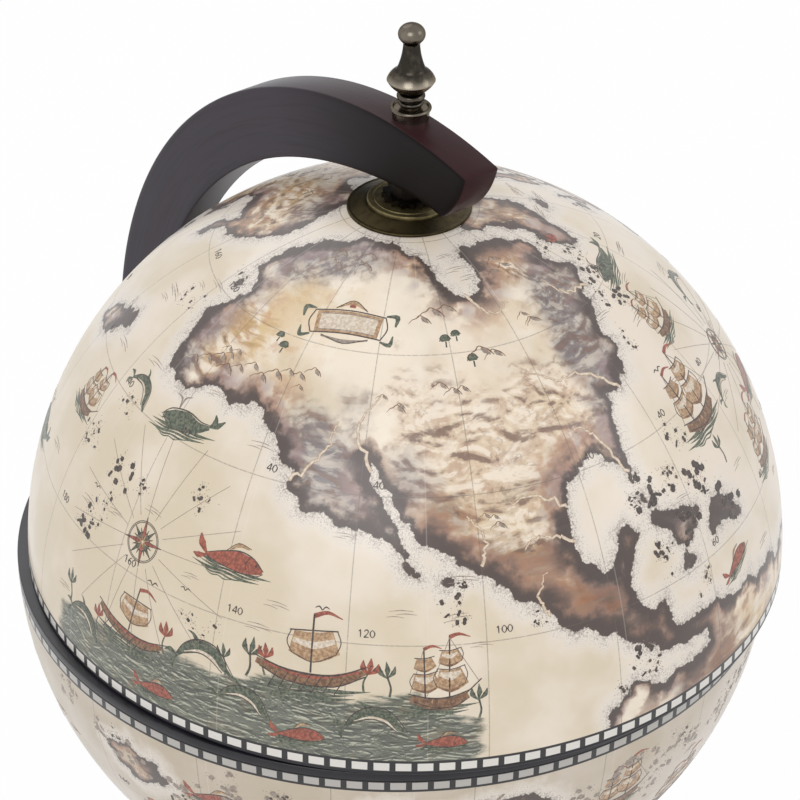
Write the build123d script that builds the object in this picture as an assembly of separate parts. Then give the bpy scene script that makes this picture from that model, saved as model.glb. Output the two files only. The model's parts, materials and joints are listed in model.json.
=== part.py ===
from build123d import *
import math
import os

# Tabletop globe bar: a turned base carries a C-shaped wooden arm, and the arm carries a globe of two
# halves by a bolt through each pole. The arm is split at the equator by a hinge at its back, so its
# upper half lifts the lid off the bowl, which holds a bottle and glasses in a tray.
# Millimetres. Z is up, the hinge is at +Y, and the origin is under the middle of the base.

# Globe
globe_radius = 165.0
shell_wall = 5.0
rim_gap = 0.4               # lid clear of the bowl
lid_shift = (1.7, -1.9)     # lid's axis from the stand's axis
bowl_shift = (-1.7, 1.9)    # bowl's axis from the stand's axis

# Rims of the two halves
rim_width = 15.5            # from the globe's surface in to the mouth
lid_flange = 1.6
bowl_flange = 4.0
lid_rim_depth = 14.0
bowl_rim_depth = 22.0
ledge_width = 8.0           # carries the tray
rim_edge = 0.4              # bevel of the rims' outer edges
shell_hole_gap = 0.4        # round the bolt in the shells

# Arm
arm_gap = 8.4               # between the globe and the arm
arm_width = 31.0
arm_thickness = 17.6
arm_taper_start = 25.0      # degrees behind the poles where the inner edge turns flatter
arm_taper_radius = 208.0    # of the flatter stretch, which thins the arm towards its nose
arm_overrun = 13.7          # degrees that the ends run past the poles
nose_undercut = 2.6         # degrees that the inner corner stays behind the outer one
nose_bulge = 2.2
arm_edge = 0.8
split_gap = 0.4
foot_flat = 1.0             # depth of the flat that stands in the saddle

# Base
felt_thickness = 2.0
felt_margin = 7.0
plinth_radius = 113.0
plinth_height = 24.0
plinth_edge = 7.0
plinth_step = 4.0
plinth_cove = 9.0
pedestal_radius = 66.0
pedestal_height = 20.0
pedestal_neck = 50.0
pedestal_lip = 4.0
saddle_depth = 7.0

# Bolts, washers and nuts at the poles
bolt_radius = 3.0
bolt_head_radius = 5.0
bolt_head_height = 5.0
bolt_head_sink = 2.0        # below the flat foot of the arm
hour_disc_radius = 25.8
hour_disc_edge = 0.8
hour_plate_radius = 17.5
hour_plate_thickness = 1.4
plateau_rise = 1.3          # the disc's flat middle above the pole
plateau_margin = 1.0
tooth_count = 16
tooth_washer_radius = 11.6
tooth_depth = 2.1
tooth_washer_thickness = 2.2
hub_radius = 7.5
spot_face = 0.2             # depth of the flats cut in the arm for bush and finial
backing_radius = 20.0
backing_thickness = 3.3
nut_radius = 6.5
nut_height = 5.0
nut_dome = 3.6

# Finial
cup_radius = 7.4
cup_height = 4.5
dish_radius = 8.8
dish_height = 2.2
bead_radii = (0.9, 1.35)    # from the dish up
bead_root = 4.6
bead_stem = 2.0             # below the first bead
bead_gap = 0.7              # above each bead
bulb_foot_radius = 5.7
bulb_radius = 9.7
bulb_height = 9.3
shoulder_radius = 7.0
shoulder_step = 0.6
neck_radius = 3.15
neck_height = 11.0
ball_radius = 5.3
finial_thread = 9.0

# Hinge
leaf_length = 28.0
leaf_thickness = 1.6
leaf_width = 16.0
barrel_radius = 3.2
pin_radius = 1.5
pin_head = 2.2
pin_head_height = 1.0
knuckle_count = 5
hinge_seat = 2.2            # depth of the flat cut in the arm's outer edge

# Tray
tray_recess = 3.8           # tray's top below the bowl's rim
tray_thickness = 8.0
shelf_thickness = 6.0
shelf_margin = 5.5          # between the shelf's edge and the shell
shelf_drop = 68.0           # shelf's top below the tray's top
bottle_hole = 43.0
glass_count = 4
glass_hole = 35.0
glass_margin = 8.5          # between the glass holes and the ledge
glass_seat = 2.0            # depth of the glass seats in the shelf
post_radius = 6.0
post_margin = 4.0           # between the posts and the shelf's edge
bottle_cup_radius = 49.0
bottle_cup_bore = 41.5
bottle_cup_height = 32.0
bottle_floor = 3.0

# Screws
wood_screw_radius = 1.6
wood_screw_length = 14.0
small_screw_radius = 1.2
small_screw_length = 9.0
base_screw_radius = 2.5
base_screw_grip = 14.0
base_screw_head = 5.0
base_screw_spread = 26.0
base_screw_sink = 8.0

# Clearances
seat_gap = 0.3              # between curved faces that rest together
running_gap = 0.06          # bolt in a bore that turns on it
turning_gap = 0.2           # between flat faces that turn on each other
fixed_gap = 0.1             # fastener in its own hole
side_gap = 0.15             # arm in its saddle
tray_gap = 0.4
knuckle_gap = 0.2
notch_gap = 0.4

# Worked out from these
shell_inside = globe_radius - shell_wall
rim_bore = globe_radius - rim_width
ledge_bore = rim_bore - ledge_width
arm_inner = globe_radius + arm_gap
arm_outer = arm_inner + arm_width
foot_level = arm_outer - foot_flat
base_top = felt_thickness + plinth_height + pedestal_height
globe_centre = base_top - saddle_depth + foot_level
cap_level = arm_outer - spot_face           # outer spot face, under the finial
hour_level = globe_radius + plateau_rise
plate_level = hour_level + hour_plate_thickness
washer_level = plate_level + turning_gap
hub_level = washer_level + tooth_washer_thickness
taper_offset = arm_taper_radius - arm_inner     # of the flatter stretch's centre beyond the globe's
backing_level = shell_inside - backing_thickness
nut_level = backing_level - turning_gap
nut_end = nut_level - nut_height - nut_dome
seat_y = arm_outer - hinge_seat
hinge_y = seat_y + barrel_radius + knuckle_gap
lid_plane = rim_gap / 2
tray_top = -lid_plane - tray_recess
tray_bottom = tray_top - tray_thickness
shelf_top = tray_top - shelf_drop
shelf_bottom = shelf_top - shelf_thickness
shelf_radius = math.sqrt(shell_inside**2 - shelf_bottom**2) - shelf_margin
post_circle = shelf_radius - post_margin - post_radius
glass_circle = ledge_bore - glass_margin - glass_hole
glass_angles = [(i + 0.5) * 360 / glass_count for i in range(glass_count)]
post_angles = [i * 360 / glass_count for i in range(glass_count)]


def turned(outline, x=0.0, y=0.0, z=0.0):
    """Solid turned about the vertical axis through (x, y) from a closed (radius, height) outline."""
    return Pos(x, y, z) * revolve(Plane.XZ * make_face(outline), Axis.Z)


def rod(radius, low, high, x=0.0, y=0.0):
    """Upright round rod from low to high."""
    return Pos(x, y, low) * Cylinder(radius, high - low, align=(Align.CENTER, Align.CENTER, Align.MIN))


def on_sphere(radius, out):
    """Point of a sphere's outline, out from its axis."""
    return (out, math.sqrt(radius**2 - out**2))


def sphere_arc(radius, out_a, out_b):
    """Arc of a sphere's outline between two distances from its axis."""
    return ThreePointArc(
        on_sphere(radius, out_a), on_sphere(radius, (out_a + out_b) / 2), on_sphere(radius, out_b)
    )


def level_arc(radius, level_a, level_b):
    """Arc of a sphere's outline between two heights."""
    heights = (level_a, (level_a + level_b) / 2, level_b)
    return ThreePointArc(*[(math.sqrt(radius**2 - h**2), h) for h in heights])


def polar(radius, degrees):
    """Point in the arm's plane: degrees from the pole towards the back."""
    return (radius * math.sin(math.radians(degrees)), radius * math.cos(math.radians(degrees)))


def inner_edge(degrees):
    """Distance of the arm's inner edge from the globe's centre, at degrees behind the pole."""
    turn = math.radians(min(degrees - arm_taper_start, 0))
    reach = math.sqrt(arm_taper_radius**2 - (taper_offset * math.sin(turn)) ** 2)
    return reach - taper_offset * math.cos(turn)


def upper(solid):
    """Places a solid made about the globe's centre at the lid's axis."""
    return Pos(lid_shift[0], lid_shift[1], globe_centre) * solid


def lower(solid):
    """Turns a solid made for the lid upside down and places it at the bowl's axis."""
    return Pos(bowl_shift[0], bowl_shift[1], globe_centre) * mirror(solid, Plane.XY)


# Globe halves


def shell(edge):
    """Half globe from its edge up to the pole, with a hole for the bolt."""
    hole = bolt_radius + shell_hole_gap
    outline = (
        level_arc(globe_radius, edge, on_sphere(globe_radius, hole)[1])
        + Line(on_sphere(globe_radius, hole), on_sphere(shell_inside, hole))
        + level_arc(shell_inside, on_sphere(shell_inside, hole)[1], edge)
        + Line((math.sqrt(shell_inside**2 - edge**2), edge), (math.sqrt(globe_radius**2 - edge**2), edge))
    )
    return turned(outline)


def rim(flange, depth, ledge_level=None):
    """Rim ring: a flange over the shell's edge and a spigot inside the shell."""
    spigot = shell_inside - seat_gap
    top = lid_plane + flange
    spigot_side = level_arc(spigot, top, depth)
    inner = [(math.sqrt(spigot**2 - depth**2), depth), (rim_bore, depth)]
    if ledge_level is not None:
        inner = [inner[0], (ledge_bore, depth), (ledge_bore, ledge_level), (rim_bore, ledge_level)]
    outside = math.sqrt(globe_radius**2 - top**2)
    inner += [(rim_bore, lid_plane), (outside - rim_edge, lid_plane), (outside, lid_plane + rim_edge)]
    inner += [(outside, top), (math.sqrt(spigot**2 - top**2), top)]
    return turned(spigot_side + Polyline(*inner))


lid_shell = upper(shell(lid_plane + lid_flange))
lid_rim = upper(rim(lid_flange, lid_rim_depth))
bowl_shell = lower(shell(lid_plane + bowl_flange))
bowl_rim = lower(rim(bowl_flange, bowl_rim_depth, -tray_bottom))


# Pole hardware, made above the globe's centre for the lid and turned over for the bowl


def hour_disc():
    """Thin disc on the pole with a sloping rim and a flat middle."""
    under = globe_radius + seat_gap
    hole = bolt_radius + running_gap
    flat = hour_plate_radius + plateau_margin
    edge = on_sphere(under, hour_disc_radius)
    outline = sphere_arc(under, hole, hour_disc_radius) + Polyline(
        edge, (edge[0], edge[1] + hour_disc_edge), (flat, hour_level), (hole, hour_level), on_sphere(under, hole)
    )
    return turned(outline)


def hour_plate():
    """Raised round plate on the disc."""
    plate = rod(hour_plate_radius, hour_level, plate_level)
    plate = chamfer(plate.edges().group_by(Axis.Z)[-1], 0.35 * hour_plate_thickness)
    return plate - rod(bolt_radius + running_gap, hour_level, plate_level)


def hub():
    """Bush between the toothed washer and the arm."""
    return rod(hub_radius, hub_level, spot_level) - rod(bolt_radius + fixed_gap, hub_level, spot_level)


def tooth_washer():
    """Washer with external teeth above the plate, which turns under it."""
    step = 180 / tooth_count
    root = tooth_washer_radius - tooth_depth
    corners = [polar(tooth_washer_radius if i % 2 else root, i * step) for i in range(2 * tooth_count)]
    blank = Pos(0, 0, washer_level) * extrude(make_face(Polyline(*corners, close=True)), tooth_washer_thickness)
    return blank - rod(bolt_radius + fixed_gap, washer_level, hub_level)


seat_reach = hub_radius + max(abs(lid_shift[1]), abs(bowl_shift[1]))
seat_angle = math.asin(seat_reach / arm_inner)
spot_level = inner_edge(-math.degrees(seat_angle)) * math.cos(seat_angle) + spot_face   # flat over the bush


def backing_plate():
    """Round plate inside the shell that takes the bolt's pull."""
    top = shell_inside - seat_gap
    hole = bolt_radius + running_gap
    outline = sphere_arc(top, hole, backing_radius) + Polyline(
        on_sphere(top, backing_radius), (backing_radius, backing_level), (hole, backing_level), on_sphere(top, hole)
    )
    return turned(outline)


def cap_nut():
    """Hexagon nut with a domed end over the bolt's end."""
    low = nut_level - nut_height
    body = Pos(0, 0, low) * extrude(RegularPolygon(nut_radius, 6), nut_height)
    dome_edge = nut_radius * math.cos(math.radians(30))
    dome_radius = (dome_edge**2 + nut_dome**2) / (2 * nut_dome)
    half_turn = math.asin(dome_edge / dome_radius) / 2
    dome_middle = (dome_radius * math.sin(half_turn), low - nut_dome + dome_radius * (1 - math.cos(half_turn)))
    dome = ThreePointArc((dome_edge, low), dome_middle, (0, low - nut_dome)) + Polyline(
        (0, low - nut_dome), (0, low), (dome_edge, low)
    )
    return body + turned(dome) - rod(bolt_radius + fixed_gap, low, nut_level)


lid_hour_disc = upper(hour_disc())
lid_hour_plate = upper(hour_plate())
lid_hub = upper(hub())
lid_tooth_washer = upper(tooth_washer())
lid_backing_plate = upper(backing_plate())
lid_cap_nut = upper(cap_nut())
bowl_hour_disc = lower(hour_disc())
bowl_hour_plate = lower(hour_plate())
bowl_hub = lower(hub())
bowl_tooth_washer = lower(tooth_washer())
bowl_backing_plate = lower(backing_plate())
bowl_cap_nut = lower(cap_nut())

bolt_end = nut_level - nut_height
dish_floor = cap_level + cup_height + dish_height / 2
lid_bolt = upper(rod(bolt_radius, bolt_end, dish_floor + finial_thread))
head_level = foot_level - bolt_head_sink
bowl_bolt = lower(
    rod(bolt_radius, bolt_end, head_level) + rod(bolt_head_radius, head_level - bolt_head_height, head_level)
)


# Arm


def arm_half():
    """Upper half of the arm about the globe's centre, from the split at the back to its thinner nose."""
    level = split_gap / 2
    outer_start = (math.sqrt(arm_outer**2 - level**2), level)
    inner_start = (math.sqrt(arm_inner**2 - level**2), level)
    nose_angle = nose_undercut - arm_overrun
    taper_middle = (arm_taper_start + nose_angle) / 2
    outer_end = Vector(*polar(arm_outer, -arm_overrun))
    inner_end = Vector(*polar(inner_edge(nose_angle), nose_angle))
    chord = inner_end - outer_end
    bulge = Vector(chord.Y, -chord.X).normalized() * nose_bulge
    nose_middle = (outer_end + inner_end) / 2 + bulge
    outline = (
        ThreePointArc(outer_start, polar(arm_outer, 45), outer_end)
        + ThreePointArc(outer_end, nose_middle, inner_end)
        + ThreePointArc(
            inner_end, polar(inner_edge(taper_middle), taper_middle), polar(arm_inner, arm_taper_start)
        )
        + ThreePointArc(
            polar(arm_inner, arm_taper_start), polar(arm_inner, (arm_taper_start + 90) / 2), inner_start
        )
        + Line(inner_start, outer_start)
    )
    blank = extrude(Plane.YZ * make_face(outline), arm_thickness / 2, both=True)
    sides = blank.faces().filter_by(Axis.X).edges()
    blank = chamfer(sides, arm_edge)
    seat = Pos(0, seat_y, 0) * Box(
        2 * arm_thickness, arm_width, 2 * arm_width, align=(Align.CENTER, Align.MIN, Align.MIN)
    )
    return blank - seat


def screw_cutter(radius, length, place):
    """Hole for a countersunk screw."""
    return place * countersunk(radius + fixed_gap, length + fixed_gap)


def countersunk(radius, length):
    """Countersunk screw pointing down from the origin, its head flush."""
    head = Pos(0, 0, -radius) * Cone(radius, 2 * radius, radius, align=(Align.CENTER, Align.CENTER, Align.MIN))
    return head + rod(radius, -length, -radius)


leaf_holes = [leaf_length * share for share in (0.42, 0.78)]
leaf_face = seat_y + leaf_thickness
upper_screw_places = [Pos(0, leaf_face, globe_centre + h) * Rot(X=-90) for h in leaf_holes]
lower_screw_places = [Pos(0, leaf_face, globe_centre - h) * Rot(X=-90) for h in leaf_holes]
base_screw_places = [(0, base_screw_spread), (0, -base_screw_spread)]

spot_radius = hub_radius + fixed_gap

arm_upper = Pos(0, 0, globe_centre) * arm_half()
arm_upper -= rod(bolt_radius + fixed_gap, globe_centre + arm_inner - nose_bulge, globe_centre + arm_outer, *lid_shift)
arm_upper -= rod(spot_radius, globe_centre + arm_inner / 2, globe_centre + spot_level, *lid_shift)
arm_upper -= rod(cup_radius + fixed_gap, globe_centre + cap_level, globe_centre + arm_outer + 1, *lid_shift)

arm_lower = Pos(0, 0, globe_centre) * mirror(arm_half(), Plane.XY)
foot_z = globe_centre - foot_level
arm_lower -= Pos(0, 0, foot_z) * Box(
    2 * arm_thickness, arm_outer, arm_width, align=(Align.CENTER, Align.CENTER, Align.MAX)
)
arm_lower -= rod(bolt_radius + fixed_gap, globe_centre - arm_outer, globe_centre - arm_inner + nose_bulge, *bowl_shift)
arm_lower -= rod(spot_radius, globe_centre - spot_level, globe_centre - arm_inner / 2, *bowl_shift)
arm_lower -= rod(
    bolt_head_radius + fixed_gap,
    globe_centre - arm_outer,
    globe_centre - head_level + bolt_head_height,
    *bowl_shift,
)

for place in upper_screw_places:
    arm_upper -= screw_cutter(wood_screw_radius, wood_screw_length, place)
for place in lower_screw_places:
    arm_lower -= screw_cutter(wood_screw_radius, wood_screw_length, place)


# Hinge at the back of the arm


knuckle_pitch = leaf_width / knuckle_count
knuckle_centres = [(i - (knuckle_count - 1) / 2) * knuckle_pitch for i in range(knuckle_count)]


def hinge_leaf(first):
    """Leaf above the hinge line with every second knuckle, counted from the first."""
    plate = Pos(0, seat_y, split_gap / 2) * Box(
        leaf_width, leaf_thickness, leaf_length, align=(Align.CENTER, Align.MIN, Align.MIN)
    )
    corners = plate.edges().filter_by(Axis.Y).group_by(Axis.Z)[-1]
    leaf = fillet(corners, leaf_width / 5)
    for index, centre in enumerate(knuckle_centres):
        place = Pos(centre, hinge_y, 0) * Rot(Y=90)
        if index % 2 == first:
            leaf += place * Cylinder(barrel_radius, knuckle_pitch - knuckle_gap)
        else:
            leaf -= place * Cylinder(barrel_radius + notch_gap, knuckle_pitch + knuckle_gap)
    leaf -= Pos(0, hinge_y, 0) * Rot(Y=90) * Cylinder(pin_radius + running_gap, 2 * leaf_width)
    return leaf


upper_leaf_blank = Pos(0, 0, globe_centre) * hinge_leaf(1)
lower_leaf_blank = Pos(0, 0, globe_centre) * mirror(hinge_leaf(0), Plane.XY)
for place in upper_screw_places:
    upper_leaf_blank -= screw_cutter(wood_screw_radius, wood_screw_length, place)
for place in lower_screw_places:
    lower_leaf_blank -= screw_cutter(wood_screw_radius, wood_screw_length, place)
hinge_leaf_upper = upper_leaf_blank
hinge_leaf_lower = lower_leaf_blank
hinge_screws_upper = [place * countersunk(wood_screw_radius, wood_screw_length) for place in upper_screw_places]
hinge_screws_lower = [place * countersunk(wood_screw_radius, wood_screw_length) for place in lower_screw_places]
pin_length = leaf_width + 2 * knuckle_gap
pin_place = Pos(0, hinge_y, globe_centre) * Rot(Y=90)
hinge_pin = pin_place * (
    Cylinder(pin_radius, pin_length)
    + Pos(0, 0, (pin_length + pin_head_height) / 2) * Cylinder(pin_head, pin_head_height)
    + Pos(0, 0, -(pin_length + pin_head_height) / 2) * Cylinder(pin_head, pin_head_height)
)


# Finial on top of the arm


def finial_cup_outline():
    """Cup that stands on the arm, with a dished collar on top."""
    bore = bolt_radius + fixed_gap
    half = dish_height / 2
    return Polyline((bore, half + cup_height), (bore, 0), (0.88 * cup_radius, 0), (cup_radius, cup_height)) + (
        ThreePointArc(
            (cup_radius, cup_height),
            (dish_radius, cup_height + half),
            (cup_radius + 0.4, cup_height + dish_height),
        )
        + Polyline(
            (cup_radius + 0.4, cup_height + dish_height),
            (cup_radius - 0.6, cup_height + half),
            (bore, half + cup_height),
        )
    )


def finial_outline():
    """Beads, bulb, waisted neck and ball, from the dish floor up."""
    bore = bolt_radius + fixed_gap
    outline = Polyline((0, finial_thread), (bore, finial_thread), (bore, 0), (bead_root, 0), (bead_root, bead_stem))
    level = bead_stem
    for bead in bead_radii:
        top = level + 2 * bead
        outline += ThreePointArc((bead_root, level), (bead_root + bead, level + bead), (bead_root, top))
        outline += Line((bead_root, top), (bead_root, top + bead_gap))
        level = top + bead_gap
    widest = level + 0.57 * bulb_height
    shoulder = level + bulb_height
    neck_foot = shoulder_radius - shoulder_step
    neck_top = shoulder + neck_height
    ball = neck_top + math.sqrt(ball_radius**2 - neck_radius**2)
    return (
        outline
        + Line((bead_root, level), (bulb_foot_radius, level))
        + ThreePointArc(
            (bulb_foot_radius, level),
            (bulb_foot_radius + 0.77 * (bulb_radius - bulb_foot_radius), level + 0.27 * bulb_height),
            (bulb_radius, widest),
        )
        + ThreePointArc(
            (bulb_radius, widest),
            (shoulder_radius + 0.78 * (bulb_radius - shoulder_radius), widest + 0.27 * bulb_height),
            (shoulder_radius, shoulder),
        )
        + Line((shoulder_radius, shoulder), (neck_foot, shoulder))
        + ThreePointArc(
            (neck_foot, shoulder),
            (neck_radius + 0.25 * (neck_foot - neck_radius), shoulder + 0.42 * neck_height),
            (neck_radius, neck_top),
        )
        + ThreePointArc((neck_radius, neck_top), (ball_radius, ball), (0, ball + ball_radius))
        + Line((0, ball + ball_radius), (0, finial_thread))
    )


finial_cup = upper(turned(finial_cup_outline(), z=cap_level))
finial = upper(turned(finial_outline(), z=dish_floor))


# Base


def base_screw_hole(x, y):
    """Hole up through the base and into the arm, counterbored from below."""
    seat = felt_thickness + base_screw_sink
    shank = rod(base_screw_radius + fixed_gap, felt_thickness, foot_z + base_screw_grip + fixed_gap, x, y)
    return shank + rod(base_screw_head + fixed_gap, felt_thickness, seat, x, y)


def base_screw(x, y):
    """Round-headed screw from the counterbore into the arm."""
    seat = felt_thickness + base_screw_sink
    head = rod(base_screw_head, seat - base_screw_radius, seat, x, y)
    return head + rod(base_screw_radius, seat, foot_z + base_screw_grip, x, y)


felt_disc = rod(plinth_radius - felt_margin, 0, felt_thickness)

plinth_top_radius = plinth_radius - plinth_step - plinth_cove
cove_top = plinth_edge + plinth_cove
plinth_outline = (
    Polyline((0, plinth_height), (0, 0), (plinth_radius, 0), (plinth_radius, plinth_edge))
    + Line((plinth_radius, plinth_edge), (plinth_radius - plinth_step / 2, plinth_edge))
    + ThreePointArc(
        (plinth_radius - plinth_step / 2, plinth_edge),
        (plinth_radius - plinth_step / 2 - 0.7 * plinth_cove, plinth_edge + 0.3 * plinth_cove),
        (plinth_radius - plinth_step / 2 - plinth_cove, cove_top),
    )
    + Line((plinth_radius - plinth_step / 2 - plinth_cove, cove_top), (plinth_top_radius, cove_top))
    + ThreePointArc(
        (plinth_top_radius, cove_top),
        (plinth_top_radius - 0.3 * (plinth_height - cove_top), cove_top + 0.7 * (plinth_height - cove_top)),
        (plinth_top_radius - (plinth_height - cove_top), plinth_height),
    )
    + Line((plinth_top_radius - (plinth_height - cove_top), plinth_height), (0, plinth_height))
)
base_plinth = turned(plinth_outline, z=felt_thickness)

lip_low = pedestal_height - pedestal_lip
lip_radius = pedestal_neck + pedestal_lip / 2
pedestal_outline = (
    Polyline((0, pedestal_height), (0, 0), (pedestal_radius, 0), (pedestal_radius, pedestal_lip))
    + ThreePointArc(
        (pedestal_radius, pedestal_lip),
        (
            pedestal_neck + 0.26 * (pedestal_radius - pedestal_neck),
            pedestal_lip + 0.42 * (lip_low - pedestal_lip),
        ),
        (pedestal_neck, lip_low),
    )
    + ThreePointArc(
        (pedestal_neck, lip_low), (lip_radius, lip_low + pedestal_lip / 2), (pedestal_neck, pedestal_height)
    )
    + Line((pedestal_neck, pedestal_height), (0, pedestal_height))
)
base_pedestal = turned(pedestal_outline, z=felt_thickness + plinth_height)
saddle_bed = Pos(0, 0, globe_centre) * Rot(Y=90) * Cylinder(arm_outer + side_gap, arm_thickness + 2 * side_gap)
saddle_room = Pos(0, 0, foot_z) * Box(
    2 * arm_thickness, 4 * pedestal_radius, pedestal_height, align=(Align.CENTER, Align.CENTER, Align.MIN)
)
base_pedestal -= saddle_bed & saddle_room

for spot in base_screw_places:
    base_plinth -= base_screw_hole(*spot)
    base_pedestal -= base_screw_hole(*spot)
    arm_lower -= base_screw_hole(*spot)
base_screws = [base_screw(*spot) for spot in base_screw_places]


# Tray inside the bowl, about the bowl's axis


def round_hole(radius, circle, angle, low, high):
    """Upright hole at an angle round the bowl's axis."""
    return rod(radius, low, high, circle * math.cos(math.radians(angle)), circle * math.sin(math.radians(angle)))


def in_bowl(solid):
    """Places a solid made about the globe's centre at the bowl's axis."""
    return Pos(bowl_shift[0], bowl_shift[1], globe_centre) * solid


tray = rod(rim_bore - tray_gap, tray_bottom, tray_top) - rod(bottle_hole, tray_bottom, tray_top)
shelf = rod(shelf_radius, shelf_bottom, shelf_top) - rod(bottle_hole, shelf_bottom, shelf_top)
for angle in glass_angles:
    tray -= round_hole(glass_hole, glass_circle, angle, tray_bottom, tray_top)
    shelf -= round_hole(glass_hole - glass_seat, glass_circle, angle, shelf_top - glass_seat, shelf_top)
tray_screw_length = tray_thickness + small_screw_length
shelf_screw_length = shelf_thickness + small_screw_length
post_spots = [
    (post_circle * math.cos(math.radians(angle)), post_circle * math.sin(math.radians(angle)))
    for angle in post_angles
]
tray_posts = []
tray_screws = []
for x, y in post_spots:
    post = rod(post_radius, shelf_top, tray_bottom, x, y)
    for top, turn, length in ((tray_top, 0, tray_screw_length), (shelf_bottom, 180, shelf_screw_length)):
        place = Pos(x, y, top) * Rot(X=turn)
        hole = screw_cutter(small_screw_radius, length, place)
        post -= hole
        tray -= hole
        shelf -= hole
        tray_screws.append(in_bowl(place * countersunk(small_screw_radius, length)))
    tray_posts.append(in_bowl(post))
tray_board = in_bowl(tray)
shelf_board = in_bowl(shelf)

cup_sphere = shell_inside - seat_gap
nut_pocket = backing_radius + seat_gap
pocket_top = nut_end - fixed_gap
floor_level = pocket_top - bottle_floor
cup_rim = on_sphere(cup_sphere, bottle_cup_radius)[1] - bottle_cup_height
bottle_cup_blank = turned(
    sphere_arc(cup_sphere, nut_pocket, bottle_cup_radius)
    + Polyline(
        on_sphere(cup_sphere, bottle_cup_radius),
        (bottle_cup_radius, cup_rim),
        (bottle_cup_bore, cup_rim),
        (bottle_cup_bore, floor_level),
        (0, floor_level),
        (0, pocket_top),
        (nut_pocket, pocket_top),
        on_sphere(cup_sphere, nut_pocket),
    )
)
bottle_cup = lower(bottle_cup_blank)

nodes = {
    "base_felt": felt_disc,
    "base_plinth": base_plinth,
    "base_pedestal": base_pedestal,
    "base_screws": base_screws,
    "arm_lower": arm_lower,
    "hinge_leaf_lower": hinge_leaf_lower,
    "hinge_screws_lower": hinge_screws_lower,
    "hinge_pin": hinge_pin,
    "bowl_bolt": bowl_bolt,
    "bowl_tooth_washer": bowl_tooth_washer,
    "bowl_hub": bowl_hub,
    "bowl_cap_nut": bowl_cap_nut,
    "bowl_shell": bowl_shell,
    "bowl_rim": bowl_rim,
    "bowl_hour_disc": bowl_hour_disc,
    "bowl_hour_plate": bowl_hour_plate,
    "bowl_backing_plate": bowl_backing_plate,
    "bottle_cup": bottle_cup,
    "tray_board": tray_board,
    "shelf_board": shelf_board,
    "tray_posts": tray_posts,
    "tray_screws": tray_screws,
    "arm_upper": arm_upper,
    "hinge_leaf_upper": hinge_leaf_upper,
    "hinge_screws_upper": hinge_screws_upper,
    "finial_cup": finial_cup,
    "finial": finial,
    "lid_bolt": lid_bolt,
    "lid_tooth_washer": lid_tooth_washer,
    "lid_hub": lid_hub,
    "lid_cap_nut": lid_cap_nut,
    "lid_shell": lid_shell,
    "lid_rim": lid_rim,
    "lid_hour_disc": lid_hour_disc,
    "lid_hour_plate": lid_hour_plate,
    "lid_backing_plate": lid_backing_plate,
}

os.makedirs("parts", exist_ok=True)
for name, shape in nodes.items():
    piece = Compound(children=shape) if isinstance(shape, list) else shape
    export_step(piece, f"parts/{name}.step")
print("globe centre", round(globe_centre, 2), "hinge y", round(hinge_y, 2), "nodes", len(nodes))
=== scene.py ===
import json
import math
import random
import bpy
import bmesh
import numpy as np
from mathutils import Matrix, Vector, kdtree


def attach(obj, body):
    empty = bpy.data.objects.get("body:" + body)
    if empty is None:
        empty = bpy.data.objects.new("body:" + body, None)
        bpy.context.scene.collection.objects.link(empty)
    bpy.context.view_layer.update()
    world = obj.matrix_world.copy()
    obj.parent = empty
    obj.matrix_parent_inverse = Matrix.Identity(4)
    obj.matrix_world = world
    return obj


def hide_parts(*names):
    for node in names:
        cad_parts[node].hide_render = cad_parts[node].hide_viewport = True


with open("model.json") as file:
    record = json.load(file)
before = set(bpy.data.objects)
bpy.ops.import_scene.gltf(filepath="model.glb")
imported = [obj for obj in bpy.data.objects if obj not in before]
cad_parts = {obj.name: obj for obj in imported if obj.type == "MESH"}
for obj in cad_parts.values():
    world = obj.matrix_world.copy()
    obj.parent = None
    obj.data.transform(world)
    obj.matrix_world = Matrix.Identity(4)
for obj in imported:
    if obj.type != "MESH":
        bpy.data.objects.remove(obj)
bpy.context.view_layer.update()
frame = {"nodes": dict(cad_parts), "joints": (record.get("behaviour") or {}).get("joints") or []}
nodes = frame["nodes"]
mm = 0.001
jointAt = {joint["name"]: Vector(joint["pos_m"]) for joint in frame["joints"]}
lidCentre, bowlCentre = jointAt["lid_spin"], jointAt["bowl_spin"]
globeCentre = Vector((0, 0, lidCentre.z))
print("frame loaded:", len(nodes), "nodes")


# --- camera, light and floor

cameraSetup = {
    "distance": 1.254,          # from the lid's centre
    "elevation": 35.78,         # degrees above it
    "azimuth": 39.5,            # of the stand's front from the camera
    "pitch": 33.17,
    "yaw": -0.163,
    "roll": 0.70,
    "lens": 127.76,
}


def addObject(name, data):
    made = bpy.data.objects.new(name, data)
    bpy.context.scene.collection.objects.link(made)
    return made


def setCamera(setup):
    lift, pitch, yaw, roll = (math.radians(setup[k]) for k in ("elevation", "pitch", "yaw", "roll"))
    spot = Vector((0, -math.cos(lift), math.sin(lift))) * setup["distance"]
    forward = Vector((math.sin(yaw) * math.cos(pitch), math.cos(yaw) * math.cos(pitch), -math.sin(pitch)))
    right = forward.cross(Vector((0, 0, 1))).normalized()
    up = right.cross(forward)
    tiltedRight = math.cos(roll) * right + math.sin(roll) * up
    tiltedUp = math.cos(roll) * up - math.sin(roll) * right
    turn = Matrix.Rotation(-math.radians(setup["azimuth"]), 3, "Z")
    axes = Matrix([turn @ tiltedRight, turn @ tiltedUp, turn @ -forward]).transposed()
    camera = addObject("camera", bpy.data.cameras.new("camera"))
    camera.matrix_world = Matrix.Translation(lidCentre + turn @ spot) @ axes.to_4x4()
    camera.data.lens = setup["lens"]
    camera.data.sensor_width = 36.0
    camera.data.clip_start = 0.05
    camera.data.clip_end = 20.0
    bpy.context.scene.camera = camera


setCamera(cameraSetup)

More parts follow.
